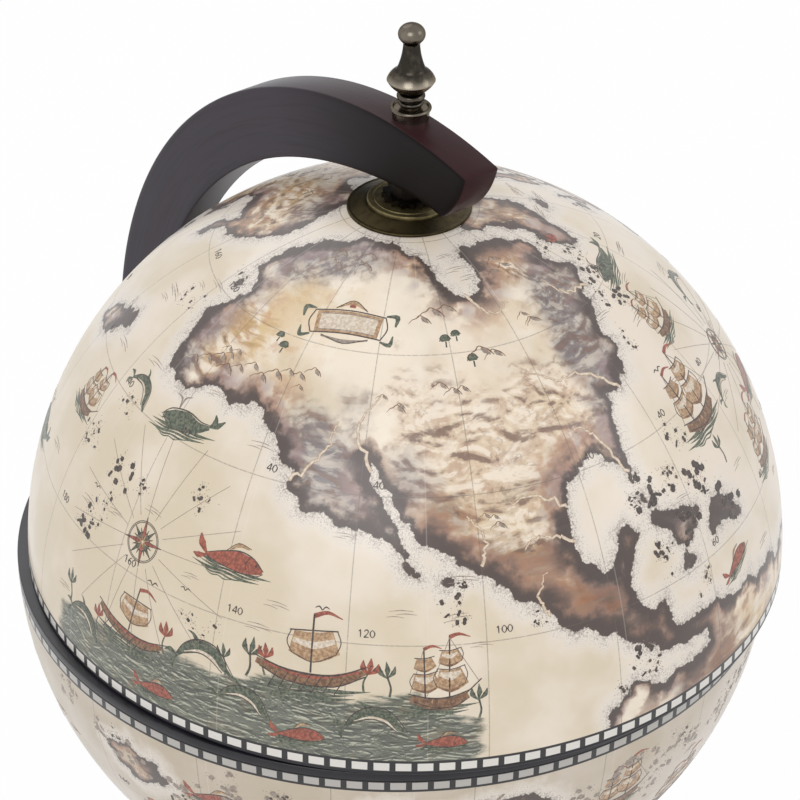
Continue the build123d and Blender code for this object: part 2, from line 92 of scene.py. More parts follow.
studio = {
    "lamps": [                  # place (m), size (m), power (W)
        ((-1.3, -0.9, 1.7), 1.3, 12.0),
        ((1.1, -1.2, 1.3), 1.0, 4.0),
        ((0.2, 1.2, 1.6), 1.2, 4.0),
    ],
    "skyLight": 0.62,           # what the room gives to matt surfaces
    "floorColour": (246, 246, 246),
    "floorGlow": 0.97,
}


def paint(red, green, blue):    # 0-255 as on screen, to the linear values that shaders take
    shares = (red / 255, green / 255, blue / 255)
    return tuple(c / 12.92 if c <= 0.04045 else ((c + 0.055) / 1.055) ** 2.4 for c in shares) + (1.0,)


def setLights(setup):
    for index, (place, size, power) in enumerate(setup["lamps"]):
        light = bpy.data.lights.new(f"softbox{index + 1}", "AREA")
        light.shape = "DISK"
        light.size = size
        light.energy = power
        lamp = addObject(light.name, light)
        lamp.location = place
        lamp.rotation_euler = (globeCentre - Vector(place)).to_track_quat("-Z", "Y").to_euler()
    world = bpy.data.worlds.new("room")
    bpy.context.scene.world = world
    world.use_nodes = True
    seen = raysOf(world.node_tree, "Camera", "Glossy", "Transmission")
    strength = seen.calc("MULTIPLY_ADD", 1 - setup["skyLight"], setup["skyLight"])
    fill(world.node_tree.nodes["Background"], Color=(1, 1, 1, 1), Strength=strength)


# --- shader helpers

class Wire:                     # the value of a socket in a shader, reckoned with like a number
    def __init__(self, socket):
        self.socket, self.tree = socket, socket.id_data

    def calc(self, operation, *others, clamp=False):
        plugs = dict(enumerate((self, *others)))
        return newNode(self.tree, "Math", plugs, operation=operation, use_clamp=clamp)

    def __add__(self, other):
        return self.calc("ADD", other)

    def __sub__(self, other):
        return self.calc("SUBTRACT", other)

    def __mul__(self, other):
        return self.calc("MULTIPLY", other)

    def __truediv__(self, other):
        return self.calc("DIVIDE", other)

    def __abs__(self):
        return self.calc("ABSOLUTE")

    def centred(self, spread):  # from 0 to 1 to as much on either side of nothing
        return self.calc("MULTIPLY_ADD", spread, -spread / 2)

    def fade(self, low, high, toLow=0.0, toHigh=1.0):  # smooth step from low to high
        plugs = dict(enumerate((self, low, high, toLow, toHigh)))
        return newNode(self.tree, "MapRange", plugs, interpolation_type="SMOOTHSTEP")

    def fromLines(self, step, reach, offset=0.0):  # how far an angle is from lines so many degrees apart
        steps = self.calc("MULTIPLY_ADD", 1 / math.radians(step), 0.5 + offset / step)
        return abs(steps.calc("FRACT") - 0.5) * reach

    def split(self):            # x, y and z of a place
        node = newNode(self.tree, "SeparateXYZ", {0: self}).socket.node
        return [Wire(socket) for socket in node.outputs]

    def noise(self, scale, detail=3.0, roughness=0.55, distortion=0.0):  # a pattern at a place
        plugs = {"Vector": self, "Scale": scale, "Detail": detail, "Roughness": roughness}
        return newNode(self.tree, "TexNoise", dict(plugs, Distortion=distortion), "Fac")

    def bump(self, distance, strength, under=None):  # a surface as high as the wire, over another if given
        plugs = {"Height": self, "Distance": distance, "Strength": strength}
        return newNode(self.tree, "Bump", plugs if under is None else dict(plugs, Normal=under))

    def ramp(self, stops):
        node = newNode(self.tree, "ValToRGB", {0: self}).socket.node
        elements = node.color_ramp.elements
        while len(elements) < len(stops):
            elements.new(0.5)
        for element, (place, colour) in zip(elements, stops):
            element.position, element.color = place, paint(*colour)
        return Wire(node.outputs[0])


def plug(node, key, value):     # a wire into a node's input, or a setting of it
    if isinstance(value, Wire):
        value.tree.links.new(value.socket, node.inputs[key])
    else:
        node.inputs[key].default_value = value


def fill(node, **plugs):        # inputs by name, with _ for a space
    for key, value in plugs.items():
        plug(node, key.replace("_", " "), value)


def newNode(tree, kind, plugs, output=0, **settings):
    node = tree.nodes.new("ShaderNode" + kind)
    for key, value in settings.items():
        setattr(node, key, value)
    for key, value in plugs.items():
        plug(node, key, value)
    return Wire(node.outputs[output])


def joinXyz(x, y, z):
    return newNode(x.tree, "CombineXYZ", {0: x, 1: y, 2: z})


def flatReach(x, y):            # distance from the axis that x and y are measured from
    return (x * x + y * y).calc("SQRT")


def millimetres(tree, centre=(0, 0, 0)):  # object coordinates in mm from a centre
    coordinates = newNode(tree, "TexCoord", {}, "Object")
    shift = Vector(centre) * -1000
    return newNode(tree, "Mapping", {"Vector": coordinates, "Location": shift, "Scale": (1000, 1000, 1000)})


def raysOf(tree, *kinds):       # 1 for rays of these kinds, and 0 for others
    path = newNode(tree, "LightPath", {}).socket.node
    first, *others = [Wire(path.outputs[f"Is {kind} Ray"]) for kind in kinds]
    for other in others:
        first = first.calc("MAXIMUM", other)
    return first


def wash(under, over, *amounts):  # one paint over another, as thick as the product of the amounts
    amount = amounts[0]
    for factor in amounts[1:]:
        amount = amount * factor
    under, over = (colour if isinstance(colour, Wire) else paint(*colour) for colour in (under, over))
    return newNode(amount.tree, "Mix", {0: amount, 6: under, 7: over}, 2, data_type="RGBA")


def newMaterial(name, **settings):  # settings go on the shader's own sockets
    material = bpy.data.materials.new(name)
    material.use_nodes = True
    shader = material.node_tree.nodes["Principled BSDF"]
    fill(shader, **settings)
    return material, material.node_tree, shader


setLights(studio)


def layFloor(setup):
    bm = bmesh.new()
    bmesh.ops.create_grid(bm, x_segments=1, y_segments=1, size=6.0)
    mesh = bpy.data.meshes.new("floor")
    bm.to_mesh(mesh)
    bm.free()
    floor = addObject("floor", mesh)
    material, tree, shader = newMaterial("paleFloor", Roughness=0.9, Specular_IOR_Level=0.1)
    fill(shader, Base_Color=paint(*setup["floorColour"]))
    glow = newNode(tree, "Emission", {})
    glowing = raysOf(tree, "Camera", "Glossy") * setup["floorGlow"]
    mixed = newNode(tree, "MixShader", {0: glowing, 1: Wire(shader.outputs[0]), 2: glow})
    fill(tree.nodes["Material Output"], Surface=mixed)
    mesh.materials.append(material)


layFloor(studio)
bpy.context.scene.view_settings.view_transform = "Standard"
print("studio ready")


# --- mesh helpers

def keepPiece(bm, name, body, material, replaced=(), sharp=35.0):
    mesh = bpy.data.meshes.new(name)
    bm.to_mesh(mesh)
    bm.free()
    for polygon in mesh.polygons:
        polygon.use_smooth = True
    mesh.set_sharp_from_angle(angle=math.radians(sharp))
    mesh.materials.append(material)
    piece = addObject(name, mesh)
    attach(piece, body)
    if replaced:
        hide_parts(*replaced)
    return piece


def allOf(bm):
    return bm.verts[:] + bm.edges[:] + bm.faces[:]


def vertsIn(geom):
    return [g for g in geom if isinstance(g, bmesh.types.BMVert)]


def edgesIn(geom):
    return [g for g in geom if isinstance(g, bmesh.types.BMEdge)]


def arcOutline(centre, radius, start, end, count):  # points on an arc of an outline, angles in degrees
    angles = np.radians(np.linspace(start, end, count))
    return [(centre[0] + radius * math.cos(a), centre[1] + radius * math.sin(a)) for a in angles]


def latheOutline(outline, steps, closed=True, doublings=0):  # spins (radius, height) points in mm about Z
    bm = bmesh.new()
    verts = [bm.verts.new((max(r, 0.0) * mm, 0, h * mm)) for r, h in outline]
    edges = [bm.edges.new((a, b)) for a, b in zip(verts, verts[1:])]
    if closed:
        edges.append(bm.edges.new((verts[-1], verts[0])))
    share = 2 ** doublings      # of a full turn, then copied round, which is quicker on a fine mesh
    bmesh.ops.spin(
        bm, geom=verts + edges, cent=(0, 0, 0), axis=(0, 0, 1), angle=2 * math.pi / share,
        steps=steps // share, use_merge=share == 1, use_duplicate=False,
    )
    for index in range(doublings):
        copied = vertsIn(bmesh.ops.duplicate(bm, geom=allOf(bm))["geom"])
        turn = Matrix.Rotation(2 * math.pi / share * 2 ** index, 3, "Z")
        bmesh.ops.rotate(bm, verts=copied, cent=(0, 0, 0), matrix=turn)
    bmesh.ops.remove_doubles(bm, verts=bm.verts, dist=2e-6)
    bmesh.ops.recalc_face_normals(bm, faces=bm.faces)
    return bm


def softenEdges(bm, width, segments=3, angle=30.0):
    edges = [e for e in bm.edges if len(e.link_faces) == 2 and e.calc_face_angle(0) > math.radians(angle)]
    bmesh.ops.bevel(
        bm, geom=edges, offset=width * mm, offset_type="OFFSET", segments=segments, profile=0.5,
        affect="EDGES", clamp_overlap=True, material=-1,
    )


def moveTo(bm, place):
    bmesh.ops.translate(bm, verts=bm.verts, vec=place)


def placeHalf(bm, centre, south):  # what is built at the north pole, turned over for the south pole
    if south:
        bmesh.ops.scale(bm, verts=bm.verts, vec=(1, 1, -1))
        bmesh.ops.reverse_faces(bm, faces=bm.faces)
    moveTo(bm, centre)


# --- land of the printed map

landOutlines = {                # true degrees east and north
    "greenland": [
        (-73, 78.2), (-68, 80.3), (-60, 82.2), (-45, 82.8), (-32, 83.5), (-22, 82.3), (-17, 80),
        (-19, 77), (-21.5, 73.5), (-22.5, 70.5), (-30, 68.1), (-38, 65.7), (-41, 63), (-43.3, 60.1),
        (-48, 61), (-51.5, 64), (-53.7, 67), (-51, 69.5), (-54.5, 71.5), (-58, 75), (-66, 76),
    ],
    "iceland": [
        (-24, 65.5), (-20, 66), (-15, 66.3), (-13.7, 65), (-18.5, 63.5), (-22.5, 63.9),
    ],
    "britain": [
        (-5.5, 50.1), (1.3, 51.2), (0.3, 53), (-2, 56), (-2, 57.6), (-5, 58.5), (-5.8, 56.5), (-3, 54.5),
        (-4.8, 53), (-5, 51.6),
    ],
    "ireland": [(-10, 52), (-6.2, 52.3), (-6, 54), (-7.5, 55.2), (-10, 54)],
    "eurasia": [
        (-9.3, 38.7), (-8.8, 42.8), (-1.8, 43.4), (-1.2, 46), (-4.6, 48.3), (-1.5, 49.7), (2.5, 51),
        (4.5, 52.5), (8.5, 53.8), (8.2, 57), (10.5, 57.6), (10.5, 55), (14, 54), (19, 54.5), (21, 57),
        (24, 58), (24, 59.3), (29, 60), (23, 60), (21.5, 61.5), (25, 65), (21.5, 65), (17.3, 62.3),
        (18, 60), (16.5, 57.5), (14.2, 55.5), (11.3, 59), (7, 58), (5, 60), (6, 62.5), (12, 66), (19, 70),
        (28, 71), (36, 69), (41, 67), (37, 65), (40, 64.6), (44, 66.4), (44, 68.5), (54, 68.3), (60, 69),
        (68, 68.5), (67, 71.5), (72.5, 72.8), (74, 68.5), (78, 72), (87, 75), (104, 77.6), (113, 75),
        (127, 77), (140, 79.5), (156, 81), (172, 79.5), (185, 76), (194, 70.5), (189, 65.5), (180, 61),
        (172, 58), (163, 56.5), (161.5, 54), (156.8, 49), (154.8, 54.5), (160, 59), (155, 58.4),
        (143, 58.3), (135.5, 54.8), (141, 52.5), (140.4, 48.5), (132, 43.2), (129.5, 41), (127.5, 39.7),
        (129.4, 37), (129, 35.2), (126.4, 34.5), (126.5, 37.5), (124.8, 39.7), (121.3, 39), (121.8, 40.8),
        (117.8, 39), (122.4, 37.2), (119.3, 35), (121.9, 31.8), (121.6, 28.5), (118, 24.4), (113.8, 22.2),
        (108.5, 21.5), (105.8, 19), (109.2, 13), (107, 10.5), (104.8, 8.6), (103, 11), (100.9, 13.2),
        (99.3, 11), (100.3, 8), (103.4, 4), (104.2, 1.4), (101.3, 2.8), (98.3, 8), (98.7, 12),
        (97.6, 16.3), (94.3, 16), (94.2, 18.8), (91.8, 22.3), (88, 21.7), (86.8, 20.5), (82.3, 16.7),
        (80.2, 15), (79.9, 10.5), (77.5, 8.1), (76, 11), (74, 15.5), (72.7, 20.5), (70.5, 20.9),
        (69, 22.3), (66.7, 25), (61.6, 25.2), (57, 26.5), (51.5, 27.8), (48.5, 30), (48, 29),
        (50.2, 26.5), (51.5, 24.5), (56.3, 26), (59.8, 22.5), (57.7, 19), (55, 17), (51.5, 15.2),
        (45, 12.8), (43.3, 13), (42.7, 16.5), (39, 21.3), (34.9, 28), (32.7, 29.9), (32.3, 31.2),
        (34.4, 31.5), (35.9, 36), (31, 36.5), (27.5, 37), (26.3, 39.5), (29, 41), (35, 42), (41, 41.2),
        (37.5, 44.7), (38, 47), (33.5, 46), (33.8, 44.5), (30.5, 46.2), (28, 43), (28.8, 41.4),
        (26, 40.8), (23, 40.5), (24, 38), (22.5, 36.5), (21, 38.8), (19.4, 41.5), (13.8, 45),
        (12.4, 44.5), (16, 41.8), (18.4, 40), (16, 38), (15.5, 40), (12, 42), (9, 44.3), (3.5, 43.3),
        (0.5, 40.5), (-0.5, 38), (-2, 36.7), (-5.5, 36), (-9, 37),
    ],
    "africa": [
        (-5.9, 35.8), (-2, 35.2), (3, 36.8), (10, 37.3), (11, 33.7), (15, 32.3), (20, 30.6), (23, 32.6),
        (29, 31), (32.3, 31.2), (32.6, 29.9), (35.5, 24), (37.3, 20), (39.5, 15.5), (43.2, 11.8),
        (51.2, 11.9), (48.5, 5.5), (42, -1.5), (39.3, -6), (40.6, -14.5), (35.5, -19.5), (35.4, -24),
        (32.8, -26), (30.8, -30.5), (25.7, -34), (20, -34.8), (18.3, -33), (15, -26.5), (11.8, -17),
        (13.8, -11), (12, -5.5), (9, -0.8), (9.6, 3.8), (5.5, 4.5), (-2, 4.8), (-7.7, 4.4), (-13, 8.5),
        (-16.8, 13), (-17.4, 14.8), (-16.3, 19.5), (-16, 23.8), (-13, 27.8), (-9.7, 30.5), (-6.8, 34),
    ],
    "madagascar": [
        (44, -17), (49.3, -12.2), (50.4, -16), (47.2, -25), (44, -25), (43.4, -22),
    ],
    "australia": [
        (114, -22), (113.5, -26), (115.5, -31.5), (115, -34.3), (118.5, -34.9), (124, -33.2),
        (131, -31.5), (135.5, -34.8), (138, -33.4), (139, -35.8), (140.7, -38), (144.5, -38.2),
        (146.5, -39), (150, -37.4), (153, -31), (153.2, -25), (149, -20.5), (146, -18.8), (145.4, -15),
        (142.5, -10.8), (141.5, -15), (139.5, -17.5), (135.5, -15), (136.8, -12.2), (132.5, -11.4),
        (129.7, -14.9), (126, -14), (122, -18), (117, -20.7),
    ],
    "newGuinea": [
        (131, -1), (137.5, -1.8), (144, -4), (150.5, -10.4), (144, -8), (138.5, -8.2), (133, -4),
    ],
    "borneo": [
        (109, 1.5), (113, 3), (117, 7), (119, 5), (117.5, 1), (116, -4), (110.5, -3),
    ],
    "sumatra": [
        (95.3, 5.6), (100.5, 2), (104, -2.5), (105.8, -5.8), (102.3, -4), (98.5, 1),
    ],
    "java": [(105.2, -6.8), (110.5, -6.4), (114.4, -7.8), (114.3, -8.6), (107, -7.7)],
    "celebes": [(120, 0.5), (125, 1.5), (121, -0.8), (123, -5), (120, -3)],
    "luzon": [(120.3, 16), (120.8, 18.5), (122.2, 18.4), (124, 13), (121, 13.7)],
    "mindanao": [(122, 7), (125.4, 9.7), (126.5, 7), (125.4, 5.8)],
    "honshu": [
        (130.9, 34), (135.5, 35.6), (139.8, 38.5), (141.5, 41.4), (142, 39.3), (140.7, 35.7), (136, 33.6),
    ],
    "hokkaido": [(140, 42), (141.7, 45.4), (145.4, 43.3), (143, 42)],
    "sakhalin": [(142, 46.2), (142, 53.8), (143.3, 53), (143.6, 46.6)],
    "ceylon": [(79.9, 8), (80.2, 9.7), (81.8, 7.2), (80.6, 6)],
    "novayaZemlya": [(52, 71.5), (56, 73.5), (68, 76.8), (66, 75.8), (58, 71)],
    "svalbard": [(11, 79), (18, 80), (27, 79.8), (17, 76.8)],
    "southIsland": [(166.5, -46), (172.7, -40.7), (174.2, -41.8), (170.8, -46)],
    "northIsland": [(172.8, -34.6), (178.3, -37.7), (175, -41.5), (174, -39)],
    "antarctica": [
        (-180, -78), (-150, -76.5), (-110, -74.5), (-75, -72), (-62, -65.5), (-57, -63.4), (-60, -70),
        (-40, -77), (-10, -71), (30, -69), (70, -68), (110, -66.3), (150, -68.5), (170, -72), (180, -78),
        (180, -90), (-180, -90),
    ],
}

oldOutlines = {                 # lands drawn the old way, in the map's own degrees
    "americas": [
        (-171, 48), (-173.5, 54), (-172, 59), (-169, 63.5), (-176, 67), (-173, 72), (-165, 76.5),
        (-150, 79.5), (-125, 80), (-104, 76.5), (-96, 71), (-90, 68.5), (-83, 69.5), (-79.5, 73),
        (-85, 76), (-78, 77.5), (-62, 77), (-48, 74.5), (-42, 71), (-47, 68.5), (-39, 65), (-45, 62),
        (-51, 59), (-56, 55), (-57, 51), (-62, 48), (-66.5, 48), (-68.5, 43), (-70, 36.5), (-72, 39.5),
        (-76, 42), (-80, 40.5), (-84, 37), (-84.5, 32), (-83.5, 28), (-80.5, 25.5), (-77.5, 28),
        (-74.5, 31), (-72, 29), (-74.5, 26), (-76.5, 23), (-75, 20), (-73, 17.5), (-70, 19), (-70, 16),
        (-66.5, 13.5), (-61, 13.5), (-54, 12), (-48, 10), (-41, 10), (-35, 8.5), (-28, 6), (-20, 3),
        (-15.5, 0.3), (-79, 0.3), (-81.5, 5.5), (-75, 7.5), (-68, 6.8), (-62, 7.8), (-64.5, 10.5),
        (-69, 11), (-73, 11.5), (-76, 14), (-80, 17), (-84, 18.5), (-89, 20.5), (-91, 23.5), (-95, 25),
        (-98, 27.5), (-101, 29.5), (-104, 31.5), (-108, 33.5), (-111, 35.5), (-114, 39), (-117, 42.5),
        (-120.5, 45.5), (-118.7, 42), (-115.7, 39), (-113, 35.5), (-111, 32.5), (-109.5, 29),
        (-112, 30.5), (-114.5, 34), (-119, 35.5), (-125, 36.5), (-130, 37), (-133, 39), (-132.5, 42),
        (-137, 44.5), (-141, 47), (-146, 49.5), (-150, 48), (-155, 49), (-160, 47.5), (-166, 46.5),
    ],
    "southernAmerica": [
        (-47, -0.3), (16.5, -0.3), (16, -3), (12.4, -7), (10.5, -11), (9, -14.5), (4, -17), (1, -20),
        (-4, -25), (-6, -27.5), (-11, -29), (-15, -33), (-16, -37), (-18, -41), (-15.5, -45), (-19, -50),
        (-24, -50.5), (-30, -48), (-32, -43), (-31, -36), (-28.5, -28), (-26.5, -22), (-25.5, -14),
        (-32, -8), (-40, -3),
    ],
    "southLand": [
        (-126, -15), (-123, -10.5), (-117, -9), (-110, -6.8), (-104, -8.4), (-97, -6.6), (-90, -8),
        (-86, -12), (-88, -18), (-95, -23), (-104, -27), (-114, -25), (-122, -21),
    ],
    "southWestIsle": [
        (-158, -9.5), (-153, -7.2), (-147.5, -8.4), (-146, -12), (-150.5, -14.6), (-156, -13.4),
    ],
    "greatIsle": [
        (-68, 31), (-65.4, 30.2), (-62, 29), (-58.6, 27.4), (-60.2, 25.2), (-65, 24.6), (-66.4, 27.4),
        (-69, 28.8),
    ],
    "eastIsle": [
        (-55.6, 26.8), (-50, 25), (-48, 21), (-51.5, 21.8), (-54, 23.4), (-57.8, 22.4), (-57, 25),
    ],
    "southIsle": [(-64, 23.4), (-61.8, 21.6), (-63.6, 20.2), (-66.6, 21.4)],
    "capeIsle": [(-70.5, 33.2), (-69, 33.8), (-68.8, 32.2)],
    "westIsle": [
        (152, 38.4), (155, 42.4), (161, 46), (167, 47.4), (168.6, 45), (163, 41.2), (157, 39),
    ],
    "gulfIsle": [(-106.5, 28.6), (-105, 29.4), (-104.4, 28.2), (-105.8, 27.6)],
    "straitIsle": [(-177, 62.5), (-174.5, 64), (-175.5, 61.5)],
}

mapFields = {                   # soft patches of paint: map degrees east and north, radius in degrees, amount
    "hills": [
        (-107, 52, 8, 0.9), (-97, 47, 9, 1), (-80, 50, 9, 1), (-91, 41, 10, 1), (-101, 35, 10, 1),
        (-108, 44, 9, 0.9), (-74, 45, 8, 0.9), (-66, 59, 6, 0.7), (-55, 74, 10, 1), (-82, 71, 7, 0.6),
        (-160, 52, 6, 1), (-120, 62, 5, 0.5), (132, 63, 13, 1), (150, 70, 13, 1), (168, 68, 8, 0.8),
        (-24, 75, 12, 0.8), (-92, 30, 8, 1), (-84, 24, 8, 1), (-58, 0, 11, 1), (-58, -21, 9, 1),
        (-44, 10, 9, 0.8), (-52, -32, 8, 0.8), (20, 54, 9, 0.9), (61, 63, 12, 0.9), (85, 43, 16, 1),
        (93, 65, 18, 0.9), (28, 10, 16, 0.9), (16, 29, 14, 0.8), (43, 18, 8, 1), (49, 43, 10, 0.9),
        (120, -16, 12, 0.8), (133, -76, 25, 0.6),
    ],
    "gold": [
        (-160, 58, 9, 1), (-160, 51, 6, 1), (-152, 66, 8, 0.7), (-98, 43, 13, 0.5), (-90, 36, 11, 0.5),
        (-78, 48, 9, 0.5), (-55, 74, 11, 1), (-64, 57, 6, 0.5), (-96, 31, 9, 0.8), (-84, 25, 8, 0.8),
        (132, 62, 16, 1), (152, 71, 13, 1), (168, 67, 7, 0.7), (-20, 76, 16, 0.8), (-51, -2, 16, 0.9),
        (-55, -27, 10, 0.8), (16, 55, 14, 0.8), (73, 56, 26, 0.8), (101, 48, 20, 0.8), (28, 22, 24, 0.9),
        (32, -11, 16, 0.9), (49, 34, 12, 0.9), (120, -16, 16, 0.9),
    ],
    "slate": [
        (-133, 45, 8, 1), (-126, 42, 9, 1), (-119, 37, 8, 1), (-114, 41, 8, 0.9), (-123, 50, 6, 0.7),
        (-170, 49, 6, 1), (-172, 55, 6, 1), (-170, 63, 6, 0.9), (-166, 71, 7, 1), (-152, 75, 8, 1),
        (-96, 73, 6, 0.8), (-56, 64, 8, 1), (-51, 58, 6, 1), (-61, 52, 6, 1), (-66, 46, 5, 1),
        (-68, 40, 6, 1), (-83, 38, 5, 0.9), (-84, 33, 5, 0.9), (-80, 28, 7, 0.9), (-64, 29, 5, 1),
        (-53, 24, 5, 1), (164, 44, 6, 1), (172, 64, 5, 0.9), (158, 78, 8, 0.9), (146, 58, 6, 0.8),
        (-42, 66, 6, 0.9), (-64, 18, 7, 0.9), (-38, 12, 7, 0.6), (-20, 2, 7, 0.8), (-71, 5, 6, 0.7),
        (-62, -38, 8, 0.8), (12, 44, 8, 0.7), (36, 70, 8, 0.7), (61, 72, 10, 0.6), (24, 15, 9, 0.5),
        (101, 34, 9, 0.7), (28, -24, 7, 0.8), (109, -21, 8, 0.6), (75, 22, 6, 0.8), (-22, 67, 6, 0.9),
        (-12, 82, 10, 0.7), (-47, 66, 8, 1), (-58, 60, 8, 1), (-63, 55, 7, 1), (-65, 48, 6, 1),
        (-68, 43, 6, 1),
    ],
    "umber": [
        (-106, 31, 6, 0.7), (-100, 27, 7, 0.9), (-94, 25, 7, 1), (-88, 25, 7, 1), (-82, 21, 7, 1),
        (-75, 19, 7, 1), (-71, 27, 6, 1), (-67, 12, 7, 1), (-63, 3, 9, 0.8), (-61, 31, 7, 1),
        (-51, 28, 8, 1), (-58, 24, 5, 0.8), (-71, 34, 5, 0.8), (-106, 36, 5, 0.6), (-82, 32, 6, 0.7),
        (40, 30, 9, 0.7), (20, 44, 8, 0.7), (110, 30, 9, 0.8), (30, -30, 9, 0.8), (-20, -30, 9, 0.7),
        (118, -30, 8, 0.6),
    ],
    "aged": [
        (-160, 12, 38, 1), (-120, -10, 45, 0.8), (60, 0, 45, 0.8), (170, 30, 30, 0.8), (-100, 5, 20, 0.7),
    ],
}

globe = {
    "radius": 165.0,
    "inside": 160.0,
    "boltHole": 3.4,
    "columns": 600,
    "outerRows": 128,
    "innerRows": 22,
    "eastOfAxis": 17.5,         # map longitude of the globe's +X, degrees
}
coastline = {
    "step": 1.1,                # mm between points of the roughened coasts
    "roughness": 0.16,          # sideways shift as a share of a stretch's length, one deviation
    "farthest": 0.3,            # and at most
    "poleFrom": -85.0,          # stretches past here, degrees north, and along the rim stay plain
    "rimWithin": 0.4,
    "notOutside": -60.0,        # the distance from a coast that the inside of a half is given
}
oldSurvey = {                   # how the old map departs from a true one
    "east": [-180, -168, -150, -105, -45, 180, 195],
    "drawnEast": [-197, -176, -167, -105, -24, 163, 174],
    "northShift": 10.0,         # degrees at the equator
}


def drawn(east, north):         # true degrees to the old map's degrees
    east = np.interp(np.asarray(east, float), oldSurvey["east"], oldSurvey["drawnEast"])
    return east, np.asarray(north) + oldSurvey["northShift"] * np.cos(np.radians(north))


def onGlobe(east, north, radius=1.0):  # map degrees to a direction from the globe's centre
    turn, lift = np.radians(np.asarray(east) - globe["eastOfAxis"]), np.radians(np.asarray(north))
    return np.stack([np.cos(lift) * np.cos(turn), np.cos(lift) * np.sin(turn), np.sin(lift)], -1) * radius


def roughen(outline, rng):      # breaks long runs of a coast into small bays and capes
    points = [np.array(p, float) for p in outline]
    points.append(points[0])
    farthest = coastline["farthest"]
    while True:
        longest, finer = 0.0, [points[0]]
        for a, b in zip(points, points[1:]):
            stretch = np.array([max(math.cos(math.radians((a[1] + b[1]) / 2)), 0.05), 1.0])
            run = (b - a) * stretch
            length = math.hypot(*run) * math.radians(globe["radius"])
            longest = max(longest, length)
            atPole = min(a[1], b[1]) < coastline["poleFrom"]
            plain = atPole or max(abs(a[1]), abs(b[1])) < coastline["rimWithin"]
            if length > coastline["step"]:
                side = np.array([-run[1], run[0]]) / stretch
                offset = 0 if plain else rng.gauss(0, coastline["roughness"])
                finer.append((a + b) / 2 + side * max(-farthest, min(farthest, offset)))
            finer.append(b)
        points = finer
        if longest <= coastline["step"]:
            return np.array(points)


def insideOutline(east, north, outline):  # counts how often each parallel meets the outline west of a point
    inside = np.zeros(len(east), bool)
    low, high = outline.min(0), outline.max(0)
    a, b = outline[:-1], outline[1:]
    order = np.argsort(north, kind="stable")
    levels, starts = np.unique(np.round(north[order], 4), return_index=True)
    for level, row in zip(levels, np.split(order, starts[1:])):
        if not low[1] < level < high[1]:
            continue
        meets = (a[:, 1] > level) != (b[:, 1] > level)
        p, q = a[meets], b[meets]
        crossings = np.sort(p[:, 0] + (q[:, 0] - p[:, 0]) * (level - p[:, 1]) / (q[:, 1] - p[:, 1]))
        for turn in (-360, 0, 360):
            inside[row] |= np.searchsorted(crossings, east[row] + turn) % 2 == 1
    return inside


coastRandom = random.Random(7)
coasts = {
    name: roughen(list(zip(*drawn(*zip(*outline)))), coastRandom) for name, outline in landOutlines.items()
}
coasts.update({name: roughen(outline, coastRandom) for name, outline in oldOutlines.items()})


def coastTree():                # every coast point, for the distance of a place from the sea
    points = np.concatenate(list(coasts.values()))
    points = points[(points[:, 1] > coastline["poleFrom"]) & (abs(points[:, 1]) > 0.5)]
    spots = onGlobe(points[:, 0], points[:, 1], globe["radius"])
    tree = kdtree.KDTree(len(spots))
    for index, spot in enumerate(spots):
        tree.insert(spot, index)
    tree.balance()
    return tree


coastSpots = coastTree()
print("map outlines ready:", sum(len(c) for c in coasts.values()), "points")


def storeValues(mesh, name, values):
    mesh.attributes.new(name, "FLOAT", "POINT").data.foreach_set("value", values.astype(np.float32))


paintedWater = {                # a painted stretch of sea above the rim, in map degrees
    "east": [-173, -165, -156, -147, -138, -129, -119, -110, -103],
    "top": [7.5, 10.5, 9.6, 12.6, 11.4, 14.4, 12.2, 13.6, 9.0],
    "ends": (-172.0, -101.0),
    "endSlope": 0.7,            # how slowly it thins towards its ends, against its top
    "depth": 6.0,               # degrees within it that are still told apart
}


def mapPlaces(mesh, centre):    # each point of a mesh in mm from the globe's centre, and its map degrees
    places = np.empty(len(mesh.vertices) * 3)
    mesh.vertices.foreach_get("co", places)
    places = (places.reshape(-1, 3) - np.array(centre)) * 1000
    reach = np.maximum(np.linalg.norm(places, axis=1), 1)
    north = np.degrees(np.arcsin(np.clip(places[:, 2] / reach, -1, 1)))
    east = np.degrees(np.arctan2(places[:, 1], places[:, 0])) + globe["eastOfAxis"]
    return places, (east + 180) % 360 - 180, north


def coastDistance(places, east, north):  # mm from the coast, below zero at sea
    outside = np.linalg.norm(places, axis=1) > globe["radius"] - 1
    distance = np.full(len(places), coastline["notOutside"])
    distance[outside] = [-coastSpots.find(p)[2] for p in places[outside]]
    land = np.zeros(len(places), bool)
    for outline in coasts.values():
        land |= insideOutline(east, north, outline)
    distance[land & outside] *= -1
    return distance


def patchAmount(directions, patches):  # how strong a field of soft patches is at each point
    total = np.zeros(len(directions))
    for east, north, radius, amount in patches:
        angle = np.degrees(np.arccos(np.clip(directions @ onGlobe(east, north), -1, 1)))
        total = np.maximum(total, amount * np.exp(-((angle / radius) ** 2) * 0.9))
    return total


def waterAmount(east, north):   # degrees within the painted water, below zero outside it
    west, stop = paintedWater["ends"]
    fromEnd = np.minimum(east - west, stop - east) * paintedWater["endSlope"]
    within = np.minimum(np.interp(east, paintedWater["east"], paintedWater["top"]) - north, fromEnd)
    depth = paintedWater["depth"]
    return np.clip(np.where(north > 0, within, -depth), -depth, depth)


def paintFields(piece, centre):  # what the paper's paints are steered by, kept at each point of the mesh
    places, east, north = mapPlaces(piece.data, centre)
    directions = onGlobe(east, north)
    storeValues(piece.data, "coast", coastDistance(places, east, north))
    storeValues(piece.data, "water", waterAmount(east, north))
    for name, patches in mapFields.items():
        storeValues(piece.data, name, patchAmount(directions, patches))


